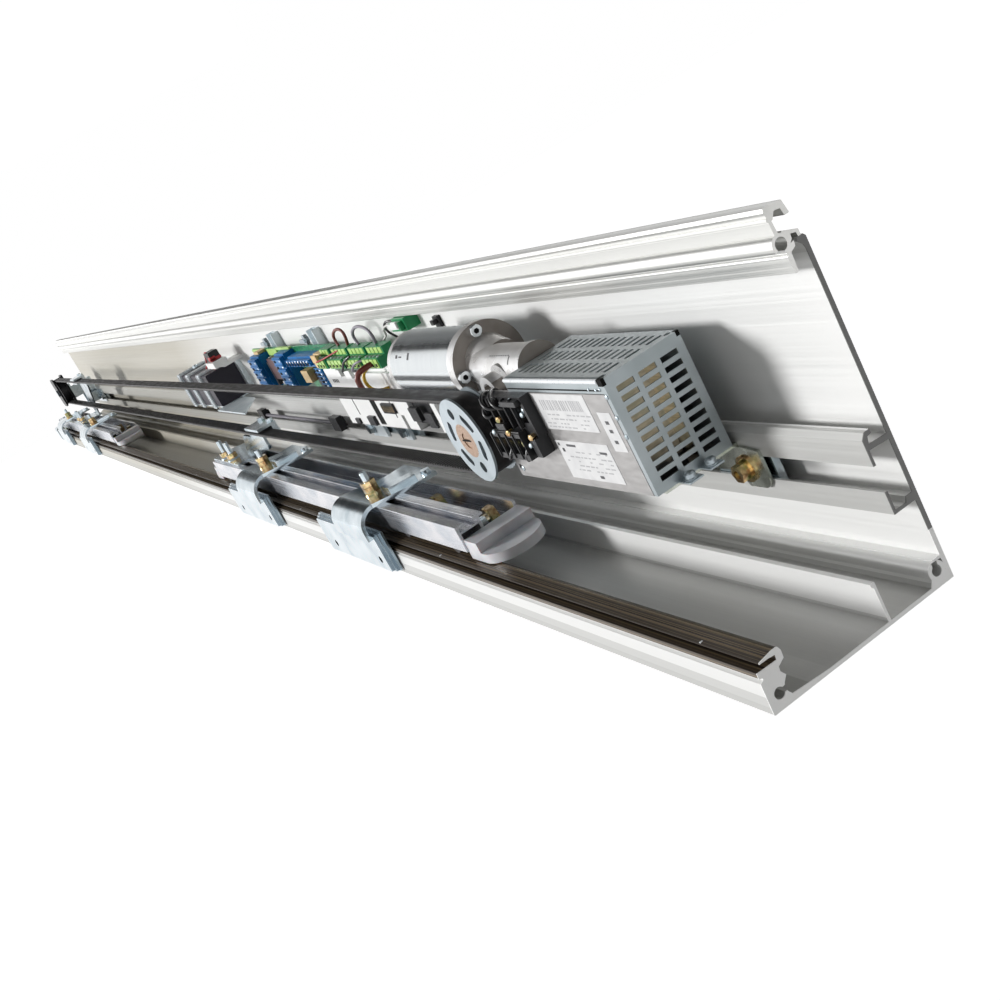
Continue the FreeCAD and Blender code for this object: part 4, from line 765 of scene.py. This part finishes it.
def supply_trim():
    """Rolled top edge, corner notch, rivets and the two screws below the cover."""
    # Painted highlight: the rolled edge is near white against the grey sheet.
    edge = Stock().turned(spot(242.6, -75.4, 156.4), ALONG,
                          ((0, 1.0), (0.4, 1.5), (123.6, 1.5), (124.0, 1.0)), 16)
    edge.piece("cover_rolled_edge", "rolled_edge")
    # Painted shade: dark slabs in the corner notches and in the gap under the rolled edge.
    gaps = Stock().slabs((118.6, 112.9, -76.5, -74.0, 153.8, 158.15),
                         (242.0, 119.0, -76.3, -75.8, 150.6, 151.5),
                         (116.6, 112.9, -23.5, -20.9, 155.0, 158.15))
    gaps.piece("cover_notches", "painted_hole_shade", bevel=0.2)
    rivets = Stock()
    heads = ((115.7, 147.1, 1.5, 0.7), (115.7, 134.0, 1.5, 0.7), (115.7, 122.0, 1.5, 0.7),
             (119.5, 151.8, 0.9, 0.5), (124.5, 151.2, 0.9, 0.5), (133.0, 151.6, 0.9, 0.5),
             (283.0, 90.0, 2.0, 0.9))
    for d, z, radius, height in heads:
        pan_head(rivets, spot(d, SUPPLY_FACE + 0.1, z), FRONT, radius, height)
    rivets.piece("supply_rivets", "pale_zinc")
    lower = Stock()
    for d, y in ((106.5, -41.0), (106.5, -56.0)):
        lower.turned(spot(d, y, 84.4), UP,
                     ((0.0, 4.2), (0.8, 4.2), (0.8, 3.4), (3.2, 3.4), (4.2, 2.4)), 20)
        lower.slab(d + 8.0, d - 5.5, y - 5.0, y + 5.0, 83.4, 84.5)
    lower.piece("supply_under_screws", "pale_zinc", bevel=0.2)


def terminal_dressing():
    """Clamps, screws, lugs and leads in front of the two-tier terminal strip."""
    brass = Stock()
    steel = Stock()
    ribs = Stock()
    for k in range(5):
        d = 265.5 - 11.0 * k
        brass.slab(d + 3.2, d - 3.2, -80.2, -79.2, 133.0, 143.5)
        pan_head(steel, spot(d, -80.2, 138.5), FRONT, 2.7, 2.2)
        ribs.slab(d + 6.1, d + 4.9, -86.2, -83.0, 128.0, 148.6)
        if k < 4:
            steel.slab(d + 3.2, d - 3.2, -85.9, -84.7, 112.0, 122.0)
            pan_head(brass, spot(d, -85.9, 118.0), FRONT, 2.7, 2.2)
            ribs.slab(d + 6.1, d + 4.9, -90.1, -89.0, 108.0, 125.6)
    ribs.slabs((269.0, 228.5, -88.6, -83.1, 124.0, 127.2),
               (260.0, 247.0, -88.0, -83.1, 127.2, 132.0),
               (240.0, 217.0, -86.8, -83.1, 143.8, 147.6),
               (224.0, 216.0, -86.0, -76.3, 108.0, 121.0))
    ribs.piece("terminal_barriers", "black", bevel=0.4)
    for d, y, z in ((242.0, -89.6, 126.5), (219.0, -86.4, 122.5), (251.0, -88.2, 135.0)):
        brass.turned(spot(d, y, z), (0.2, -1, 0.1), ((-3.0, 2.4), (0.2, 2.4), (0.8, 1.6)), 6)
    for d, y, z in ((228.5, -83.6, 147.0), (248.0, -84.0, 142.0), (222.0, -83.4, 137.0),
                    (224.0, -86.6, 117.0), (264.0, -89.4, 126.6)):
        steel.turned(spot(d, y, z), (0.1, -1, 0.3), ((-2.0, 1.8), (0.4, 1.8), (0.9, 1.1)), 16)
    brass.piece("terminal_brass", "brass", bevel=0.15)
    steel.piece("terminal_steel", "pale_zinc", bevel=0.15)
    leads = (((267.0, -80.5, 136.0), (268.5, -87.0, 134.0), (272.5, -87.5, 139.0),
              (274.5, -80.0, 145.0), (272.5, -76.0, 148.0), (262.0, -72.0, 146.5)),
             ((256.0, -80.5, 140.0), (257.0, -88.0, 141.5), (263.0, -89.0, 147.0),
              (270.0, -83.0, 150.5), (274.0, -76.0, 149.0), (276.5, -70.5, 143.0)),
             ((243.5, -80.5, 140.0), (244.0, -87.0, 142.0), (250.0, -88.0, 148.0),
              (258.0, -82.0, 151.5), (268.0, -75.0, 150.5), (275.0, -70.5, 146.0)),
             ((254.5, -85.5, 115.0), (255.0, -90.0, 110.0), (262.0, -89.0, 105.5),
              (271.0, -82.0, 106.5), (276.5, -77.0, 113.0), (276.5, -71.0, 118.0)),
             ((232.5, -85.5, 115.0), (233.0, -89.5, 109.5), (238.0, -87.0, 105.0),
              (246.0, -80.0, 104.5), (252.0, -76.5, 104.5)))
    for k, route in enumerate(leads):
        wire_piece("terminal_lead_%d" % (k + 1), route, 1.2, "black_wire")


# Drive dressing

# Round bodies along the header: depth and height of the axis, and the radius, in mm.
MOTOR_CAN = (-42.0, 153.0, 25.5)
WORM_TUBE = (-47.0, 151.5, 15.0)


def drive_dressing():
    """Marks on the can and the worm tube, flange screws' rims and sockets, the hub's slit."""
    ink = Stock()
    curved_strip(ink, MOTOR_CAN, 459.0, 455.0, 34.0, 40.0, 0.10)
    curved_strip(ink, MOTOR_CAN, 452.0, 446.0, 35.0, 37.5, 0.10)
    curved_strip(ink, MOTOR_CAN, 433.5, 430.0, 31.0, 43.0, 0.10)
    for k in range(9):
        d = 296.0 - 3.6 * k
        curved_strip(ink, WORM_TUBE, d, d - 1.8, 52.0, 55.0, 0.05)
    curved_strip(ink, WORM_TUBE, 265.0, 263.6, 30.0, 52.0, 0.05)
    ink.piece("drive_marks", "ink")
    # Painted shade: dark slabs in the screws' sockets.
    sockets = Stock()
    rims = Stock()
    for y, z in ((-66.2, 153.0), (-43.5, 176.6)):
        rims.turned(spot(330.0, y, z), ALONG, ((0, 4.5), (1.2, 4.5), (1.6, 4.0)), 24)
        sockets.turned(spot(328.2, y, z), ALONG, ((0, 2.0), (0.25, 2.0)), 6)
    rims.piece("socket_head_rims", "steel")
    sockets.piece("screw_sockets", "painted_hole_shade")
    # Painted shade: a dark slab in the hub's slit.
    slit = Stock()
    low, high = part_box("output_shaft")
    centre = (low + high) / 2.0
    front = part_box("pulley_hub")[0].y
    slit.block((centre.x - 8 * MM, front - 0.1 * MM, centre.z - 0.6 * MM),
               (centre.x + 7 * MM, front + 0.2 * MM, centre.z + 0.6 * MM))
    slit.piece("hub_slit", "painted_hole_shade", "drive_pulley")


def curved_strip(stock, round_body, far, near, low, high, lift):
    """Thin film on a round body, between two angles in degrees above its front."""
    y, z, radius = round_body
    steps = max(2, int((high - low) / 4.0))
    verts = []
    for k in range(steps + 1):
        turn = math.radians(low + (high - low) * k / steps)
        for d in (far, near):
            for out in (radius - 0.3, radius + lift):
                verts.append(spot(d, y - out * math.cos(turn), z + out * math.sin(turn)))
    faces = [(0, 1, 3, 2), tuple(4 * steps + i for i in (0, 2, 3, 1))]
    for k in range(steps):
        a = 4 * k
        faces += [(a + 1, a + 5, a + 7, a + 3), (a, a + 2, a + 6, a + 4),
                  (a, a + 4, a + 5, a + 1), (a + 2, a + 3, a + 7, a + 6)]
    stock.add(verts, faces)


# Wires

def cord_piece(name, route, radius, finish):
    """Wire between two fixed ends, which stands for one cable of the solids."""
    made = wire_piece(name, route, radius, finish)
    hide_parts("control_wires")
    tuple(spot(*route[0]))


def control_wiring():
    """Five cords, the motor cable among them, and thin leads for the looks alone."""
    cord_piece("arch_wire_1", ((700, -30, 165), (704, -30, 172), (696, -30, 178.5),
                               (684, -30, 181.5), (670, -30, 181.5), (664, -30, 175),
                               (672, -30, 165)), 1.5, "brown_wire")
    cord_piece("arch_wire_2", ((640, -30, 165), (645, -30, 172), (638, -30, 179),
                               (620, -30, 183), (600, -30, 181), (590, -30, 174),
                               (592, -30, 165)), 1.5, "grey_wire")
    cord_piece("motor_cable", ((584, -44, 153), (584, -54, 153.4), (587, -61.6, 150),
                               (590, -61.6, 138), (584, -60, 128), (582, -52, 124),
                               (582, -40, 124)), 2.6, "brown_wire")
    cord_piece("battery_lead_1", ((1258, -33, 160.6), (1268, -33, 160.6), (1276, -33, 157),
                                  (1276, -33, 142.6)), 1.3, "red_wire")
    cord_piece("battery_lead_2", ((1258, -33, 165.6), (1272, -33, 165.6), (1281, -33, 160),
                                  (1281, -33, 142.6)), 1.3, "black_wire")
    leads = (("yellow_lead", ((592, -44, 151), (593, -50, 150.5), (597, -54, 144),
                              (594, -54, 134), (589, -48, 128), (588, -40, 127)), 1.6,
              "yellow_wire"),
             ("grey_lead", ((606, -43, 156), (612, -49, 157), (626, -50, 152),
                            (640, -47, 146), (646, -40, 144)), 1.2, "grey_wire"),
             ("dark_lead", ((640, -43, 160), (648, -48, 158), (662, -48, 150),
                            (680, -45, 144), (684, -40, 142)), 1.2, "black_wire"),
             ("red_lead", ((746, -43, 155), (740, -48, 157), (722, -46, 158.5),
                           (704, -40, 161), (690, -36, 163)), 0.8, "red_wire"),
             ("switch_lead_1", ((566, -14, 177), (574, -18, 180), (584, -19, 176),
                                (594, -15, 168), (600, -8, 160), (600, -3.2, 152)), 1.1,
              "black_wire"),
             ("switch_lead_2", ((566, -14, 174), (576, -20, 177), (588, -20, 172),
                                (598, -16, 164), (604, -26, 160)), 1.0, "white_wire"),
             ("pack_lead", ((1243, -33, 162), (1250, -38, 172), (1264, -38, 166),
                            (1290, -36, 151), (1318, -34, 146), (1330, -33, 142)), 1.2,
              "red_wire"))
    for name, route, radius, finish in leads:
        wire_piece(name, route, radius, finish)


# Control dressing

# Far and near end of each plug in the green row.
PLUG_SPANS = ((750.0, 720.0), (712.0, 666.0), (660.0, 614.0), (608.0, 565.0))


def plug_dressing():
    """Lime front blocks, screws and test holes on the green plug row."""
    lime = Stock()
    screws = Stock()
    # Painted shade: dark slabs in the test holes.
    holes = Stock()
    for far, near in PLUG_SPANS:
        ways = max(2, int(round((far - near) / 11.0)))
        pitch = (far - near - 3.0) / ways
        for k in range(ways):
            d = far - 1.5 - (k + 0.5) * pitch
            half = pitch * 0.40
            lime.slab(d + half, d - half, -45.2, -43.5, 149.0, 157.2)
            lime.slab(d + half, d - half, -36.7, -35.5, 158.8, 164.4)
            holes.slab(d + half * 0.5, d - half * 0.5, -45.4, -44.9, 150.2, 153.0)
            pan_head(screws, spot(d, -40.0, 157.9), UP, 1.9, 1.0)
    lime.piece("plug_fronts", "lime", bevel=0.5)
    screws.piece("plug_screws", "pale_zinc")
    holes.piece("plug_mouths", "painted_hole_shade")
    tip = Stock().slabs((571.0, 548.0, -20.6, -19.0, 171.5, 177.0),
                        (558.0, 546.0, -22.0, -20.0, 173.0, 179.0))
    tip.piece("switch_plug_front", "white", bevel=0.4)


# The case's front lies at -40 mm; gaps and connectors reach a little behind it.
GAP_BACK = -39.8
CONNECTOR_BACK = -39.6


def case_dressing():
    """Seams, vents, connectors and tags on the white controller."""
    # Painted shade: dark slabs in the seams and vents.
    gaps = Stock()
    for d in (742.0, 737.0, 732.0, 727.0):
        gaps.slab(d, d - 2.4, -40.25, GAP_BACK, 131.0, 134.5)
    gaps.slabs((716.0, 714.0, -40.2, GAP_BACK, 96.0, 118.0),
               (610.0, 608.0, -40.2, GAP_BACK, 96.0, 118.0),
               (664.0, 650.6, -40.15, -36.2, 88.0, 113.0),
               (541.0, 536.0, -40.3, GAP_BACK, 137.0, 139.5),
               (700.0, 676.0, -40.2, GAP_BACK, 119.6, 120.4),
               (596.0, 566.0, -40.2, GAP_BACK, 117.0, 117.8))
    gaps.piece("case_gaps", "painted_hole_shade", bevel=0.1)
    row = Stock()
    pins = Stock()
    for k in range(7):
        d = 632.0 - 4.6 * k
        row.slab(d, d - 3.2, -42.4, CONNECTOR_BACK, 101.0, 111.0)
        pins.slab(d - 0.9, d - 2.3, -42.7, -42.2, 103.0, 109.0)
    row.slabs((690.0, 672.0, -43.0, CONNECTOR_BACK, 86.5, 96.0),
              (734.0, 722.0, -42.0, CONNECTOR_BACK, 86.0, 92.0),
              (560.0, 540.0, -43.5, CONNECTOR_BACK, 96.0, 109.0),
              (530.0, 514.0, -42.0, CONNECTOR_BACK, 90.0, 104.0))
    row.piece("case_connectors", "black", bevel=0.4)
    pins.piece("case_pins", "brass")
    plug = Stock().slabs((672.0, 655.0, -46.5, CONNECTOR_BACK, 138.5, 147.0),
                         (648.0, 640.0, -45.0, CONNECTOR_BACK, 139.0, 146.0),
                         (706.0, 694.0, -44.0, CONNECTOR_BACK, 139.0, 146.5))
    plug.piece("case_white_plugs", "white", bevel=0.5)
    tags = Stock().slabs((753.0, 737.0, -46.0, -43.6, 155.2, 163.2),
                         (757.5, 751.0, -44.0, -28.0, 149.0, 160.0))
    tags.piece("case_tan_tags", "holders", bevel=0.4)
    orange = Stock().slab(788.0, 776.0, -14.0, -2.7, 92.0, 99.0)
    orange.turned(spot(770.0, -8.0, 94.0), FRONT, ((0, 4.0), (4.0, 4.0), (5.0, 2.6)), 20)
    orange.piece("foot_orange_tag", "orange", bevel=0.4)


# Far and near end, lower and upper edge of each blue relay; faces are depths in mm.
RELAYS = ((1075.0, 1035.0, 113.0, 156.0), (960.0, 922.0, 114.0, 158.0),
          (910.0, 816.0, 142.0, 154.0), (814.0, 788.0, 116.0, 145.0))
RELAY_FACE = -33.0
BOARD_FACE = -14.8


def relay_dressing():
    """Screws, wire mouths and ridges on the blue relays."""
    screws = Stock()
    # Painted shade: dark slabs in the wire mouths.
    mouths = Stock()
    ridges = Stock()
    for far, near, low, high in RELAYS:
        tall = high - low > far - near
        count = 5 if tall else 8
        for k in range(count):
            part = (k + 0.5) / count
            if tall:
                z = low + 4.0 + part * (high - low - 7.0)
                pan_head(screws, spot(near + 7.5, RELAY_FACE, z), FRONT, 1.5, 0.8)
                mouths.slab(far - 6.0, far - 13.0, -33.3, -32.8, z - 1.6, z + 1.4)
                ridges.slab(far - 3.5, near + 3.5, -34.2, -32.9, z + 2.6, z + 3.5)
            else:
                d = far - 4.0 - part * (far - near - 8.0)
                pan_head(screws, spot(d, RELAY_FACE, high - 4.0), FRONT, 1.5, 0.8)
                mouths.slab(d + 2.6, d - 2.6, -33.3, -32.8, low + 3.6, low + 6.4)
                ridges.slab(d + 5.4, d + 4.6, -34.2, -32.9, low + 3.2, high - 2.4)
    ridges.piece("relay_ridges", "blue", bevel=0.2)
    screws.piece("relay_screws", "pale_zinc")
    mouths.piece("relay_mouths", "painted_hole_shade")


def board_dressing():
    """Scattered small parts, capacitors and green edges of the relay board."""
    dice = random.Random(5)
    black = Stock()
    pale = Stock()
    for k in range(22):
        d = dice.uniform(915.0, 970.0) if k % 2 else dice.uniform(985.0, 1030.0)
        if 918.0 < d < 964.0:
            d += 50.0  # clear of the relay that stands there
        z = dice.uniform(111.0, 148.0)
        wide = dice.uniform(2.0, 5.0)
        stock = black if k % 3 else pale
        tall = dice.uniform(2.5, 7.0)
        stock.slab(d + wide, d - wide, -15.1 - tall, BOARD_FACE, z, z + 4.0)
    for d in (1090.0, 1085.0):
        for z in (118.0, 128.0, 138.0, 148.0):
            pale.turned(spot(d, -14.9, z), FRONT, ((0, 2.4), (5.0, 2.4), (5.8, 1.6)), 16)
    black.slabs((1030.0, 1024.0, -24.0, BOARD_FACE, 116.0, 146.0),
                (994.0, 972.0, -22.0, BOARD_FACE, 118.0, 140.0),
                (868.0, 842.0, -21.0, BOARD_FACE, 114.0, 132.0))
    black.piece("board_black_parts", "black", bevel=0.4)
    pale.piece("board_pale_parts", "white", bevel=0.3)
    rim = Stock().slabs((1096.0, 1040.0, -17.0, BOARD_FACE, 156.5, 159.6),
                        (980.0, 925.0, -18.5, BOARD_FACE, 158.2, 161.0),
                        (1030.0, 990.0, -16.5, BOARD_FACE, 151.0, 159.0))
    rim.piece("board_green_edges", "lime", bevel=0.4)


def battery_dressing():
    """Screws, red cap and the paired edges of the battery straps."""
    # Painted highlight: the paired strap edges are near white.
    edges = Stock()
    for d in (1300.0, 1372.0, 1430.0):
        for side in (-7.2, 5.0):
            edges.slab(d - side, d - side - 2.2, -55.2, -54.0, 96.0, 143.8)
            edges.slab(d - side, d - side - 2.2, -54.6, -12.0, 144.2, 145.3)
    edges.piece("battery_strap_edges", "rolled_edge", bevel=0.4)
    red = Stock().slabs((1236.0, 1231.2, -40.6, -25.4, 157.2, 161.0),
                        (1244.0, 1231.2, -40.6, -33.0, 158.0, 163.5))
    red.piece("battery_red_cap", "red_wire", bevel=0.5)
    steel = Stock()
    for z in (102.0, 138.0):
        pan_head(steel, spot(1447.0, -9.0, z), FRONT, 2.6, 1.5)
    steel.turned(spot(1410.0, -30.0, 144.4), UP, ((0, 4.0), (3.0, 4.0), (4.2, 2.8)), 6)
    steel.piece("battery_tray_screws", "zinc")


def slot_dressing():
    """Pale sleeves at the signal cable's plugs and pins along the running track."""
    sleeve = Stock().slabs((1222.0, 1208.0, -23.2, -17.2, 63.5, 73.4),
                           (896.0, 888.0, -22.6, -17.2, 64.4, 72.4))
    sleeve.piece("cable_sleeves", "white", bevel=0.6)
    pins = Stock()
    for d in (52.6, 418.1, 804.9, 1320.0, 1900.0):
        pins.slab(d + 0.7, d - 0.7, -119.6, -117.6, 27.8, 28.7)
    pins.piece("track_pins", "rolled_edge", bevel=0.15)


# Carriage dressing

# Depth of the studs' axes and their radius, in mm.
STUD_Y = -103.25
STUD_RADIUS = 3.0


def thread(stock, d, low, high):
    """Threaded end of a stud: rings at a pitch of 1 mm, with a chamfered tip."""
    stops = [(0.0, STUD_RADIUS)]
    z = 0.0
    while z < high - low - 1.4:
        stops.append((z + 0.5, STUD_RADIUS + 0.22))
        stops.append((z + 1.0, STUD_RADIUS - 0.15))
        z += 1.0
    stops.append((high - low, STUD_RADIUS - 0.7))
    stock.turned(spot(d, STUD_Y, low), UP, stops, 18)


def carriage_dressing():
    """Thread on the studs and washers under the clamp nuts of both carriages.

    Straps and clamps are placed from their bar's end on the drive side, in mm.
    """
    offsets = {"near": ((205.0, 571.0), (762.0, 727.0)),
               "far": ((275.0, 680.0), (481.0, 446.0))}
    for name, (straps, clamps) in offsets.items():
        end = (NEAR_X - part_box(name + "_bar")[1].x) / MM
        threads = Stock()
        washers = Stock()
        for offset in straps:
            thread(threads, end + offset, 72.4, 81.1)
        for offset in clamps:
            thread(threads, end + offset, 66.9, 82.1)
            washers.turned(spot(end + offset, STUD_Y, 60.05), UP,
                           ((0, 7.6), (1.0, 7.6), (1.3, 7.2)), 24)
        threads.piece(name + "_stud_threads", "zinc", name + "_carriage", angle=80.0)
        washers.piece(name + "_clamp_washers", "pale_zinc", name + "_carriage")


make_camera()
finish_nodes()
make_stage()
make_world()
make_sun("key", aim=(1.9, 2.9, -0.95), strength=3.6, angle=0.24)
belt_teeth()
supply_labels()
supply_trim()
terminal_dressing()
drive_dressing()
control_wiring()
plug_dressing()
case_dressing()
relay_dressing()
board_dressing()
battery_dressing()
slot_dressing()
carriage_dressing()
